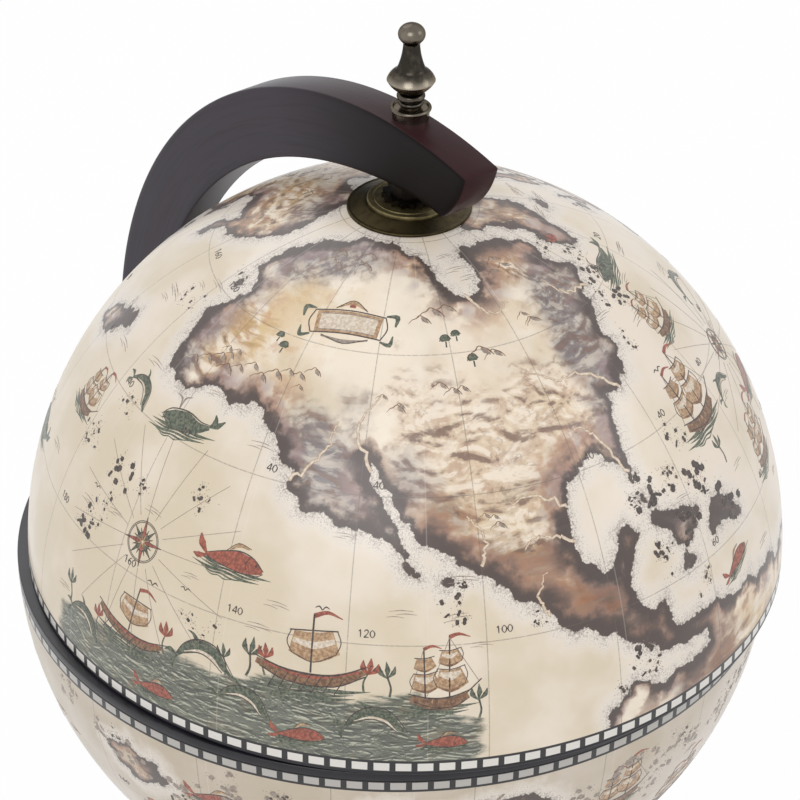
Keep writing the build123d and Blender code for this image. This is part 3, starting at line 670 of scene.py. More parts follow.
class MapPaper:                 # one half's printed paper: the patterns that its paints share, then each coat
    def __init__(self, tree, centre, look):
        self.tree, self.look = tree, look
        self.place = millimetres(tree, centre)
        x, y, self.z = self.place.split()
        self.flat = flatReach(x, y)
        self.turn, self.lift = y.calc("ARCTAN2", x), self.z.calc("ARCTAN2", self.flat)
        safeFlat = self.flat.calc("MAXIMUM", 1.0)
        self.eastX, self.eastY = x / safeFlat, y / safeFlat
        self.fine = self.place.noise(0.9, 4.0, 0.62)
        self.middling = self.place.noise(0.16, 4.0, 0.6)
        self.broad = self.place.noise(0.032, 3.0, 0.5)
        self.patchy = self.place.noise(0.085, 3.0, 0.55)
        self.brushed = self.onMap(30.0).noise(0.21, 5.0, 0.62, 0.9)
        self.coast = self.field("coast") + self.fine.centred(2.4) + self.middling.centred(3.0)

    def onMap(self, reach, rise=0.0, across=0.0):  # a place stretched along the parallels and moved a little
        east, north = self.eastX.calc("MULTIPLY_ADD", reach, across), self.eastY * reach
        return joinXyz(east, north, self.lift.calc("MULTIPLY_ADD", globe["radius"], rise))

    def field(self, attribute):
        return newNode(self.tree, "Attribute", {}, "Fac", attribute_name=attribute)

    def coat(self, under, name, *amounts):  # a wash of one of the look's paints
        return wash(under, self.look[name], *amounts)

    def paintGround(self):
        aged = self.field("aged").calc("MULTIPLY_ADD", 0.22, self.broad).fade(0.36, 0.78)
        return self.coat(self.look["ground"], "agedGround", aged)

    def paintLand(self, ground):  # pale inside, with golden washes
        gold = self.field("gold")
        land = self.coat(ground, "paleLand", self.broad.fade(0.66, 0.36))
        land = self.coat(land, "gold", gold, self.patchy.fade(0.34, 0.54), 0.95)
        land = self.coat(land, "ochre", gold.fade(0.5, 1.0), self.brushed.fade(0.46, 0.64), 0.9)
        return self.coat(land, "orange", gold, self.middling.fade(0.54, 0.70), 0.7)

    def paintHills(self, land):  # brown ridges with a lit and a dark side, and dark creases between them
        ridges = self.onMap(66.0).noise(0.115, 4.0, 0.55, 0.45)
        self.slope = ridges - self.onMap(66.0, 2.0, 0.5).noise(0.115, 4.0, 0.55, 0.45)
        crease = abs(ridges - 0.5).fade(0.018, 0.002)
        hills = (self.field("hills") + self.patchy.centred(0.9)).fade(0.42, 0.80)
        land = self.coat(land, "hillBrown", hills, self.middling.fade(0.30, 0.68), 0.75)
        land = self.coat(land, "hillLight", hills, self.slope.fade(-0.01, 0.08), 0.85)
        land = self.coat(land, "hillDark", hills, self.slope.fade(-0.02, -0.13), 0.85)
        land = self.coat(land, "hillInk", hills, crease, self.middling.fade(0.46, 0.62), 0.35)
        self.umber = (self.field("umber") + self.patchy.centred(0.7)).fade(0.18, 0.72)
        land = self.coat(land, "umber", self.umber, ridges.fade(0.74, 0.44), 0.92)
        return self.coat(land, "russet", self.umber, self.brushed.fade(0.46, 0.60), 0.60)

    def paintSlate(self, land):  # grey and violet washes, soft at their edges
        self.slateHere = here = (self.field("slate") + self.patchy.centred(0.8)).fade(0.40, 0.92)
        slate = self.coat(self.look["slate"], "slateWarm", self.middling.fade(0.36, 0.62))
        land = wash(land, slate, here, 0.82)
        land = self.coat(land, "slateDeep", here.fade(0.55, 1.0), self.brushed.fade(0.40, 0.58), 0.75)
        land = self.coat(land, "hillDark", here, self.slope.fade(-0.012, -0.07), 0.75)
        land = self.coat(land, "hillLight", here, self.slope.fade(0.02, 0.07), 0.35)
        stained = self.place.noise(0.055, 2.0, 0.5).fade(0.50, 0.60)
        notUmber = self.umber.calc("MULTIPLY_ADD", -1.0, 1.0)
        return self.coat(land, "violet", self.coast.fade(17.0, 3.0), stained, notUmber, 0.7)

    def paintCoast(self, land):  # dark and in places wide, fading to brown inland
        width = self.patchy.fade(0.42, 0.62).calc("MULTIPLY_ADD", 5.0, 1.8)
        depth = self.coast / (width + self.umber.calc("MULTIPLY_ADD", 3.2, self.slateHere * 1.6))
        notSlate = self.slateHere.calc("MULTIPLY_ADD", -0.85, 1.0)
        land = self.coat(land, "orange", depth.fade(3.6, 1.2), self.broad.fade(0.40, 0.60), notSlate, 0.55)
        land = self.coat(land, "coastBrown", depth.fade(2.6, 0.6), notSlate.calc("MAXIMUM", 0.3), 0.85)
        return self.coat(land, "coastDark", (depth + self.brushed.centred(0.5)).fade(1.35, 0.35), 0.93)

    def paintSea(self, ground):  # pale halo with a fine grey stipple off the coasts
        offshore = self.coast + self.middling.centred(9.0)
        sea = self.coat(ground, "halo", offshore.fade(-11.0, -1.5), 0.85)
        dots = self.place.noise(1.9, 2.0, 0.5).fade(0.52, 0.60)
        sea = self.coat(sea, "stipple", dots, offshore.fade(-6.5, -0.5), 0.52)
        return self.coat(sea, "stipple", offshore.fade(-2.6, 0.3), self.fine.fade(0.40, 0.60), 0.45)

    def paintWater(self, sea):  # with pale crests and dark strokes
        here = self.field("water") + self.brushed.centred(3.6) + self.patchy.centred(2.4)
        waves = self.onMap(42.0).noise(0.30, 5.0, 0.66, 1.6)
        crest = waves - self.onMap(42.0, 0.7).noise(0.30, 5.0, 0.66, 1.6)
        water = self.coat(waves.ramp(self.look["water"]), "waterWarm", self.patchy.fade(0.50, 0.70), 0.45)
        water = self.coat(water, "crest", crest.fade(0.05, 0.12), 0.72)
        water = self.coat(water, "waterDark", crest.fade(-0.03, -0.10), 0.75)
        return wash(sea, water, here.fade(-0.2, 1.0), 0.92)

    def lineAt(self, angle, step, reach, thickness, offset=0.0):  # thin lines every so many degrees
        return angle.fromLines(step, reach, offset).fade(thickness, thickness * 0.35)

    def acrossParallel(self, degrees):  # how far apart meridians so many degrees apart are here
        return self.flat * math.radians(degrees)

    def printNet(self, colour):  # engraved net, paper joints and grime
        step = self.look["netStep"]
        meridians = self.lineAt(self.turn, step, self.acrossParallel(step), 0.32, globe["eastOfAxis"])
        parallels = self.lineAt(self.lift, step, globe["radius"] * math.radians(step), 0.32)
        net = meridians.calc("MAXIMUM", parallels)
        colour = self.coat(colour, "net", net, self.fine.fade(0.30, 0.55, 0.35, 1.0), 0.50)
        self.joints = self.lineAt(self.turn, 30, self.acrossParallel(30), 0.35, 6.0)
        colour = self.coat(colour, "joint", self.joints, 0.14)
        return self.coat(colour, "grime", self.place.noise(0.45, 6.0, 0.75).fade(0.56, 0.78), 0.10)

    def printBorder(self, colour):  # pale windows in a dark band beside the rim
        look, height, soft = self.look, abs(self.z), self.look["borderSoft"]
        low, high, edge = look["border"]
        cell = self.turn.calc("MULTIPLY_ADD", 1 / math.radians(look["borderStep"]), look["borderPhase"])
        across = abs(cell.calc("FRACT") - 0.5).fade(0.366, 0.352)
        above, below = height.fade(low - soft, low + soft), height.fade(high + soft, high - soft)
        border = self.coat(look["borderDark"], "borderPale", above, below, across)
        return wash(colour, border, height.fade(edge + 0.06, edge - 0.06))


def printedPaper(name, centre, look):
    material, tree, shader = newMaterial(name, Roughness=0.36, Coat_Weight=0.25, Coat_Roughness=0.12)
    paper = MapPaper(tree, centre, look)
    ground = paper.paintGround()
    land = paper.paintCoast(paper.paintSlate(paper.paintHills(paper.paintLand(ground))))
    sea = paper.paintWater(paper.paintSea(ground))
    colour = wash(sea, land, paper.coast.fade(-0.25, 0.25))
    surface = paper.place.noise(0.09, 2.0, 0.4).bump(0.35 * mm, 0.35)
    colour = paper.printBorder(paper.printNet(colour))
    surface = paper.joints.bump(0.02 * mm, 0.4, surface)
    fill(shader, Base_Color=colour, Normal=paper.fine.bump(0.02 * mm, 0.5, surface))
    return material


lidLook = {
    "ground": (240, 227, 211), "agedGround": (224, 209, 184), "paleLand": (248, 235, 217),
    "gold": (220, 188, 136), "ochre": (188, 150, 98), "orange": (202, 150, 108), "violet": (158, 138, 142),
    "hillBrown": (196, 166, 142), "hillLight": (247, 233, 214), "hillDark": (122, 95, 84),
    "hillInk": (96, 78, 72), "umber": (88, 60, 44), "russet": (152, 94, 60),
    "slate": (138, 135, 137), "slateWarm": (160, 149, 145), "slateDeep": (110, 103, 106),
    "coastBrown": (152, 122, 108), "coastDark": (74, 63, 60), "halo": (237, 228, 218),
    "stipple": (128, 118, 112),
    "water": [(0.28, (46, 55, 50)), (0.42, (72, 82, 75)), (0.56, (102, 109, 98)), (0.72, (152, 153, 134))],
    "waterWarm": (134, 120, 92), "waterDark": (36, 43, 40), "crest": (206, 205, 187),
    "net": (104, 96, 90), "joint": (246, 240, 230), "grime": (170, 148, 118), "netStep": 20.0,
    "border": (2.2, 5.9, 7.1),  # mm from the equator of the windows' two edges and of the band's
    "borderStep": 3.0, "borderPhase": -1.24 / 3,  # degrees from window to window, and where the first lies
    "borderSoft": 0.08, "borderDark": (34, 31, 33), "borderPale": (226, 222, 216),
}
bowlLook = dict(
    lidLook, ground=(214, 202, 188), agedGround=(198, 184, 163), paleLand=(228, 208, 172),
    border=(4.7, 8.4, 9.6), borderPhase=-2.30 / 3, borderPale=(184, 180, 175),
)


def shellOutline(edge):         # outside from the bolt's hole to the rim, and back inside
    outline = []
    walls = ((globe["radius"], globe["outerRows"], 1), (globe["inside"], globe["innerRows"], -1))
    for radius, rows, way in walls:
        ends = (math.acos(globe["boltHole"] / radius), math.asin(edge / radius))[::way]
        outline += [(radius * math.cos(a), radius * math.sin(a)) for a in np.linspace(*ends, rows + 1)]
    return outline


def globeHalf(name, body, centre, edge, look, south, replaced):
    bm = latheOutline(shellOutline(edge), globe["columns"], doublings=3)
    placeHalf(bm, centre, south)
    for face in bm.faces:
        if (face.calc_center_median() - centre).length < (globe["inside"] + 1) * mm:
            face.material_index = 1
    piece = keepPiece(bm, name, body, printedPaper(name + "Paper", centre, look), replaced)
    paintFields(piece, centre)
    return piece


lidGlobe = globeHalf("lidGlobe", "lid", lidCentre, 1.8, lidLook, False, ["lid_shell"])
bowlGlobe = globeHalf("bowlGlobe", "bowl", bowlCentre, 4.2, bowlLook, True, ["bowl_shell"])
print("globe halves ready")


# --- drawings on the map: thin sheets of ink and paint a hair above the paper

inks = {                        # light and dark of each colour, and its height above the paper in mm
    "green": ((116, 120, 102), (70, 78, 66), 0.03),
    "tan": ((202, 170, 134), (160, 126, 96), 0.04),
    "brown": ((150, 116, 88), (108, 80, 62), 0.045),
    "pale": ((232, 219, 202), (206, 188, 166), 0.05),
    "red": ((178, 102, 82), (132, 74, 62), 0.06),
    "faint": ((168, 154, 142), (140, 126, 116), 0.065),
    "ink": ((92, 80, 74), (58, 50, 48), 0.07),
}
inkRoot = 0.03                  # mm that the sheets reach into the paper
inkEdge = {"lid": 7.6, "bowl": 10.2}  # mm from the equator where the printed border ends the drawing


def foam(reach, level):         # loose strokes of sea under a ship or a beast
    rows = [(0.0, 1.0, 1.3), (-1.3, 0.8, 0.9), (-2.4, 0.9, 1.1), (-3.5, 0.55, 0.7), (-4.4, 0.35, 0.5)]
    ripple = ((-1, 0.5), (-0.5, -0.3), (0, 0.2), (0.5, -0.3), (1, 0.4))
    strokes = []
    for drop, share, wide in rows:
        line = [(x * reach * share + drop, level + drop + lift) for x, lift in ripple]
        strokes.append(("green", [0.1, wide, wide * 0.7, wide, 0.1], line))
    crest = [(-reach * 0.7, level - 0.7), (-reach * 0.2, level - 1.1), (reach * 0.4, level - 0.6)]
    return strokes + [("ink", [0.1, 0.3, 0.1], crest)]


def bothSides(ink, widths, points):  # a stroke and its mirror image
    return [(ink, widths, [(x * hand, y) for x, y in points]) for hand in (1, -1)]


motifs = {                      # colour, width or widths along the stroke, and its points, all in mm
    "ship": [
        ("brown", [2.4, 4.4, 4.8, 2.6], [(-9.5, 0.6), (-3, -1.4), (4, -1.2), (10, 1.4)]),
        ("tan", [0.8, 1.2, 0.8], [(-9, 1.2), (0, -0.6), (9.6, 1.8)]),
        ("ink", [0.3, 0.6, 0.5, 0.3], [(-10.4, 2.4), (-3, 0.6), (4, 0.9), (11.2, 3.4)]),
        ("ink", 0.35, [(-8.5, -0.6), (-2, -2.8), (5, -2.8), (9.6, -0.2)]),
        ("ink", 0.5, [(-4.6, 1), (-5, 19)]), ("ink", 0.5, [(3.6, 1), (3.8, 23)]),
        ("ink", 0.4, [(9.4, 2), (14.6, 7)]),
        ("tan", [5.4, 7.0, 5.2], [(-8.8, 6.8), (-4.2, 6.0), (-0.4, 7.6)]),
        ("pale", [1.2, 2.6, 1.0], [(-8, 8.0), (-4.6, 7.2), (-1.4, 8.6)]),
        ("tan", [3.6, 4.8, 3.6], [(-8, 13.4), (-4.6, 12.6), (-1.6, 14)]),
        ("ink", 0.3, [(-8.6, 9.8), (-4.4, 9.4), (-0.2, 10.6)]),
        ("tan", [6.4, 8.2, 6.2], [(-0.6, 8.0), (4.2, 6.8), (8.8, 8.8)]),
        ("pale", [1.4, 3.2, 1.2], [(0.4, 9.4), (4.0, 8.6), (7.6, 10)]),
        ("tan", [4.4, 5.6, 4.2], [(0.4, 15.6), (4.0, 14.8), (7.6, 16.4)]),
        ("pale", [0.8, 1.8, 0.6], [(1.2, 16.4), (4, 15.8), (6.6, 17)]),
        ("ink", 0.3, [(-0.6, 11.4), (4.2, 11.0), (9.0, 12.4)]),
        ("ink", 0.3, [(0.2, 18), (4, 17.8), (7.8, 18.8)]),
        ("ink", 0.3, [(-8.2, 15.4), (-4.8, 15.2), (-1.4, 16)]),
        ("brown", [0.3, 1.1, 0.3], [(-8.6, 4.2), (-4, 3.0), (-0.4, 4.8)]),
        ("brown", [0.3, 1.3, 0.3], [(-0.4, 4.8), (4.2, 3.2), (8.6, 5.6)]),
        ("brown", [0.2, 0.8, 0.2], [(-7.8, 11.4), (-4.6, 10.6), (-1.6, 12)]),
        ("brown", [0.2, 0.9, 0.2], [(0.4, 13.2), (4, 12.4), (7.6, 14)]),
        ("ink", 0.25, [(-8.8, 4.2), (-9.8, 7), (-8.4, 9.8)]),
        ("ink", 0.25, [(-0.6, 4.8), (-1.8, 8), (-0.4, 11.4)]),
        ("ink", 0.25, [(8.8, 5.6), (9.8, 9), (8.8, 12.2)]),
        ("ink", 0.25, [(7.6, 13.8), (8.4, 16.4), (7.6, 18.8)]),
        ("red", [1.5, 1.1, 0.2], [(3.8, 22.6), (7, 23.6), (11, 22.4)]),
        ("red", [1.2, 0.9, 0.2], [(-5, 18.6), (-2, 19.6), (1, 18.6)]),
        ("faint", 0.22, [(-5, 18.6), (-9.8, 2.4)]), ("faint", 0.22, [(3.8, 22.4), (13.6, 6.4)]),
        ("faint", 0.22, [(3.8, 22.4), (-4, 1.4)]),
    ] + foam(14, -2.4),
    "galley": [
        ("brown", [1.6, 3.4, 3.6, 1.4], [(-15, 2.4), (-6, -0.6), (6, -0.8), (15, 2.8)]),
        ("red", [0.7, 1.1, 0.7], [(-13, 2.2), (0, -0.2), (13, 2.4)]),
        ("ink", [0.3, 0.6, 0.3], [(-16, 4), (-6, 1), (6, 0.8), (16.4, 4.6)]),
        ("ink", 0.35, [(-14, 1), (-6, -2.2), (6, -2.4), (14.4, 1.2)]), ("ink", 0.5, [(0, 1), (0.4, 17)]),
        ("tan", [6.0, 8.4, 6.4], [(-5.4, 9.2), (0.6, 8.0), (6.6, 9.8)]),
        ("pale", [1.2, 2.0, 1.4], [(-5, 9.6), (0.6, 8.6), (6.2, 10.2)]),
        ("ink", 0.35, [(-6, 12.2), (0.4, 12.6), (7, 13)]),
        ("ink", 0.25, [(-5.6, 12), (-6.6, 9), (-5.2, 6)]),
        ("ink", 0.25, [(6.8, 13), (7.8, 9.8), (6.6, 6.6)]),
        ("ink", 0.25, [(-5.2, 6), (0.6, 4), (6.6, 6.6)]),
        ("red", [1.3, 1.0, 0.2], [(0.4, 16.6), (4, 17.8), (8, 16.4)]),
    ] + [("ink", 0.28, [(x, 0.2), (x - 2.6, -4.6)]) for x in (-9, -6, -3, 0, 3, 6, 9)] + foam(16, -3.4),
    "dolphin": [
        (
            "green", [0.6, 3.2, 4.6, 4.2, 2.2, 0.5],
            [(-11, 1.6), (-7, 5.4), (-1.6, 7.2), (3.8, 5.6), (7.4, 1.6), (10.4, -0.8)],
        ),
        ("green", [0.4, 1.8, 0.3], [(-10.4, 2.0), (-13, 3.6), (-15.4, 3.0)]),
        ("green", [0.4, 1.8, 0.3], [(-10.6, 1.6), (-12.4, -0.6), (-12, -2.8)]),
        ("green", [1.8, 1.0, 0.2], [(-2.6, 9), (-4.2, 11), (-6.2, 11.8)]),
        ("ink", [0.2, 0.45, 0.45, 0.2], [(-11, 2.4), (-7.4, 7), (-1.6, 9.5), (5.2, 7.6), (10.6, -0.4)]),
        ("pale", [0.2, 0.9, 0.9, 0.3], [(-7.6, 4.2), (-2, 5.6), (3, 4.2), (6.6, 0.4)]),
        ("ink", 0.3, [(-8.6, 3.2), (-2, 4.9), (2.6, 3.4), (6.6, 0)]),
        ("ink", 0.8, [(6.4, 3.0), (6.9, 2.6)]),
    ],
    "fish": [
        ("red", [0.8, 4.2, 6.8, 5.6, 1.6], [(-11, -1.4), (-5.4, -0.6), (1, 0.2), (6.6, 0.2), (11, -0.4)]),
        ("red", [0.6, 2.8, 0.6], [(-10.6, -1.4), (-13.6, 1.6), (-15, 4.6)]),
        ("red", [0.6, 2.2, 0.4], [(-10.6, -1.6), (-13.8, -2.8), (-16, -2.6)]),
        ("tan", [0.4, 1.8, 1.8, 0.4], [(-7, -2.2), (-1, -2), (5, -1.8), (9.6, -1.6)]),
        ("ink", [0.2, 0.45, 0.45, 0.2], [(-11, -0.8), (-5, 1.8), (1.4, 3.8), (7, 3.0), (11.4, 0)]),
        ("ink", 0.3, [(-10.6, -2), (-4, -2.9), (3, -3.2), (9, -2.4), (11.4, -0.8)]),
        ("ink", 0.9, [(8.0, 1.2), (8.6, 1.0)]), ("ink", 0.3, [(5.4, 2.8), (4.4, 0.4), (5.6, -2.2)]),
        ("tan", [0.3, 1.4, 0.3], [(-2.6, 3), (0.6, 5.6), (4.4, 5.4)]),
        ("ink", 0.25, [(-3.6, 2.6), (0, 6.2), (5, 5.8)]),
    ] + foam(15, -2.6),
    "whale": [
        ("green", [1.4, 6.6, 7.6, 4.6, 1.4], [(-11.4, 1.8), (-6.4, 1.2), (0, 1.4), (6, 1), (11.6, 2.6)]),
        ("green", [0.6, 2.4, 0.4], [(11.4, 2.8), (13, 5.4), (12, 8)]),
        ("green", [0.6, 2.4, 0.4], [(11.6, 3), (14.6, 4.4), (17, 6.8)]),
        ("ink", [0.2, 0.5, 0.5, 0.2], [(-12, 1.6), (-8, 4.6), (0, 5.4), (7, 3.6), (12, 3.6)]),
        ("ink", 0.8, [(-8.6, 2), (-8.1, 1.8)]), ("ink", 0.3, [(-11.4, 0.2), (-8, 0.4), (-6, -1)]),
        ("faint", [0.3, 0.8, 0.3], [(-5, 5.4), (-5.6, 9), (-8.4, 10.4)]),
        ("faint", [0.3, 0.8, 0.3], [(-4.8, 5.4), (-4, 9.4), (-1.4, 10.6)]),
    ] + foam(16, -1.2),
    "kelp": [
        ("green", [1.0, 0.8, 0.5], [(0, 0), (0.8, 4), (-0.4, 9)]),
        ("green", [0.3, 2.2, 0.2], [(-0.4, 8), (-2.6, 10.6), (-2.8, 13.6)]),
        ("green", [0.3, 2.2, 0.2], [(-0.4, 8), (0.2, 11.4), (0, 15)]),
        ("green", [0.3, 2.0, 0.2], [(-0.2, 8), (2.4, 10.2), (3.4, 12.8)]),
        ("ink", 0.3, [(0.6, 1), (0.8, 5), (-0.2, 10)]), ("ink", 0.25, [(-1.6, 9.8), (-2.8, 13)]),
        ("ink", 0.25, [(1.6, 9.8), (3.2, 12.6)]),
    ],
    "bloom": [
        ("green", [0.9, 0.7, 0.5], [(0, 0), (-0.8, 4), (0.4, 8)]),
        ("red", [0.4, 2.4, 0.3], [(0.4, 7.4), (-1.8, 9.6), (-2.2, 12.4)]),
        ("red", [0.4, 2.4, 0.3], [(0.4, 7.4), (0.6, 10.6), (0.4, 13.6)]),
        ("red", [0.4, 2.2, 0.3], [(0.4, 7.4), (2.8, 9.4), (3.4, 12)]),
        ("ink", 0.25, [(-0.8, 9), (-2, 12)]), ("ink", 0.25, [(2, 9), (3.2, 11.8)]),
    ],
    "mountain": [
        ("faint", [0.5, 1.7, 0.3], [(0.5, 2.6), (1.5, 1.5), (3.0, 0.1)]),
        ("brown", [0.15, 0.4, 0.3], [(-4.2, 0), (-2.8, 1.6), (-1.4, 2.2), (-0.4, 3.3), (0.4, 3.4)]),
        ("brown", [0.3, 0.7, 0.2], [(0.4, 3.4), (1.5, 2.5), (2.8, 1.6), (4, -0.2)]),
        ("brown", 0.24, [(0.7, 2.7), (1.1, 1.2)]), ("brown", 0.24, [(1.6, 2.0), (2.1, 0.6)]),
    ],
    "tree": [
        ("ink", 0.35, [(0, 0), (0.1, 1.6)]),
        ("green", [1.2, 1.9, 1.0], [(-1.2, 2.2), (0, 2.6), (1.2, 2.2)]),
        ("ink", 0.25, [(-1.4, 1.8), (-0.8, 3.3), (0.6, 3.5), (1.4, 2.2)]),
    ],
    "gull": bothSides("ink", [0.2, 0.45, 0.25], [(-2.2, 0.8), (-1, 1.3), (0, 0.2)]),
    "swell": [
        ("faint", [0.1, 0.35, 0.1], [(-5, 0), (0, 0.4), (5, 0)]),
        ("faint", [0.1, 0.35, 0.1], [(-2, -1.3), (2, -1.0), (6.4, -1.5)]),
        ("faint", [0.1, 0.3, 0.1], [(-6, -2.4), (-2.4, -2.1), (1.2, -2.6)]),
    ],
    "scroll": [
        ("tan", [8.2, 8.8, 8.2], [(-11, 0), (0, 0.4), (11, 0)]),
        ("pale", [6.0, 6.4, 6.0], [(-9.6, 0), (0, 0.3), (9.6, 0)]),
        ("ink", 0.45, [(-12, 4.4), (0, 5.2), (12, 4.4)]),
        ("ink", 0.45, [(-12, -4.4), (0, -3.8), (12, -4.4)]),
        *bothSides("ink", 0.4, [(-12, 4.4), (-13.4, 0), (-12, -4.4)]),
        ("faint", 0.35, [(-10, 3.1), (0, 3.7), (10, 3.1)]),
        ("faint", 0.35, [(-10, -3.1), (0, -2.6), (10, -3.1)]),
        *bothSides("green", [0.6, 1.9, 0.6], [(-12, 5), (-15.6, 5.4), (-15.8, 1.6)]),
        *bothSides("green", [0.6, 1.7, 0.4], [(-12, -5), (-15.4, -5.6), (-15.8, -2)]),
        ("tan", [0.5, 1.8, 0.5], [(-5, 6), (0, 8.4), (5, 6)]),
        ("ink", 0.3, [(-5.4, 5.6), (0, 9.3), (5.4, 5.6)]),
        ("red", [0.8, 1.4, 0.8], [(-1, 6.7), (0, 7.1), (1, 6.7)]),
        ("faint", [0.5, 1.4, 0.4], [(-8, -5.4), (0, -6.8), (8, -5.4)]),
        ("ink", 0.3, [(-8, -5), (0, -7.6), (8, -5)]),
    ],
}
numerals = {                    # each in a cell one unit high
    "0": [
        (0.3, 1), (0.06, 0.75), (0, 0.5), (0.06, 0.25), (0.3, 0), (0.54, 0.25), (0.6, 0.5), (0.54, 0.75),
        (0.3, 1),
    ],
    "1": [(0.08, 0.78), (0.24, 0.9), (0.32, 1), (0.32, 0.5), (0.32, 0)],
    "2": [
        (0.03, 0.76), (0.2, 0.99), (0.48, 0.94), (0.52, 0.66), (0.28, 0.32), (0, 0.02), (0.3, 0.05),
        (0.6, 0.02),
    ],
    "4": [
        (0.46, 0), (0.46, 0.5), (0.46, 1), (0.2, 0.62), (0, 0.3), (0.3, 0.3), (0.64, 0.32),
    ],
    "6": [
        (0.52, 0.98), (0.2, 0.76), (0.02, 0.34), (0.26, 0), (0.54, 0.2), (0.46, 0.48), (0.2, 0.5),
        (0.04, 0.3),
    ],
    "8": [
        (0.3, 0.52), (0.08, 0.76), (0.3, 1), (0.52, 0.76), (0.3, 0.52), (0.02, 0.25), (0.3, 0),
        (0.58, 0.25), (0.3, 0.52),
    ],
}
mapDrawings = {                 # motif, degrees east and north, turn in degrees, size
    "lid": [
        ("ship", -47, 37, 0, 1.3), ("ship", -36, 49, 6, 0.9), ("fish", -139, 28, -4, 1.15),
        ("whale", -158, 42, 8, 1.1), ("dolphin", -173, 41, -14, 0.9), ("ship", 174, 33, -6, 0.9),
        ("dolphin", -34, 35, 12, 0.8), ("fish", -53, 16.4, 18, 0.8), ("whale", -30, 60, 10, 1.0),
        ("kelp", -47, 29, 0, 0.9), ("bloom", -31, 66, 0, 0.9), ("galley", -155, 11.4, -6, 1.25),
        ("galley", -125, 14.6, 2, 1.5), ("ship", -107, 12.2, 0, 1.15), ("dolphin", -165, 7.2, -12, 1.0),
        ("dolphin", -141, 11.6, 6, 1.25), ("dolphin", -134.5, 7.2, -4, 1.1),
        ("dolphin", -115.5, 7.2, 4, 1.15), ("fish", -149, 5.0, 0, 0.8), ("kelp", -169, 9, 8, 1.0),
        ("kelp", -134.4, 12.6, -6, 1.15), ("bloom", -148, 11.2, 4, 1.05), ("kelp", -137.6, 11.8, 10, 0.9),
        ("bloom", -117.4, 13, -8, 1.1), ("fish", -126, 5.4, 2, 0.85), ("kelp", -101.4, 9, 0, 1.0),
        ("bloom", -131.6, 13.4, 6, 1.0), ("kelp", -113.8, 12.6, 6, 1.0), ("fish", -106, 5.6, -3, 0.75),
        ("bloom", -161.5, 8.4, 6, 0.9), ("scroll", -131, 64, 4, 1.2), ("tree", -101, 61, 0, 1.6),
        ("tree", -97.6, 61.8, 0, 1.4), ("tree", -146, 57, 0, 1.5), ("tree", -94.6, 57.6, 0, 1.6),
        ("tree", -148.6, 58.4, 0, 1.3), ("mountain", -104, 66, 0, 1.3), ("mountain", -99, 66.6, 0, 1.1),
        ("mountain", -108, 65, 0, 1.1), ("mountain", -92, 59, 0, 1.3), ("mountain", -88.6, 58.4, 0, 1.1),
        ("gull", -152, 20, 0, 1.3), ("gull", -146, 21.5, 0, 1.1), ("gull", -50, 46, 0, 1.3),
        ("gull", -124, 24, 0, 1.3), ("gull", -170, 27, 0, 1.1), ("dolphin", -14, 7, 0, 1.3),
        ("ship", 69, 17, 0, 1.3), ("ship", 0, 14, 0, 1.3), ("fish", -20, 30, 0, 1.2),
        ("whale", 160, 20, 0, 1.2), ("ship", 140, 12, 0, 1.2), ("scroll", 84, 56, 0, 1.2),
        ("dolphin", -12, 44, 0, 1.0), ("ship", -32, 22, 0, 1.1),
    ] + [                       # a range along the west coast
        ("mountain", -166 + 3.1 * k, 50.2 + 0.7 * (k % 3) + 0.35 * k, 0, 0.8 + 0.1 * (k % 4))
        for k in range(9)
    ],
    "bowl": [
        ("fish", -137, -11, 0, 1.1), ("ship", -76, -15, 0, 1.1), ("whale", -103, -34, 0, 1.3),
        ("ship", -150, -27, 0, 1.2), ("dolphin", -133, -18, 0, 1.0), ("dolphin", -45, -40, 0, 1.2),
        ("ship", -60, -25, 0, 1.2), ("fish", 62, -22, 0, 1.2), ("ship", 85, -32, 0, 1.2),
        ("whale", 95, -12, 0, 1.2), ("scroll", -130, -42, 0, 1.4), ("ship", 172, -20, 0, 1.1),
        ("dolphin", 30, -50, 0, 1.1), ("gull", -80, -20, 0, 1.3), ("gull", -140, -18, 0, 1.2),
        ("mountain", -112, -12, 0, 1.1), ("mountain", -106, -13, 0, 1.2),
        ("mountain", -99, -11.6, 0, 1.0), ("tree", -103, -17, 0, 1.5), ("tree", -94, -15, 0, 1.5),
    ],
}
roses = {                       # degrees east and north, radius in mm
    "lid": [(-156, 25, 9.0), (-24, 38, 8.0), (73, 7.4, 9.0)],
    "bowl": [(-118, -28, 12.0), (-20, -38, 10.0), (78, -42, 10.0)],
}
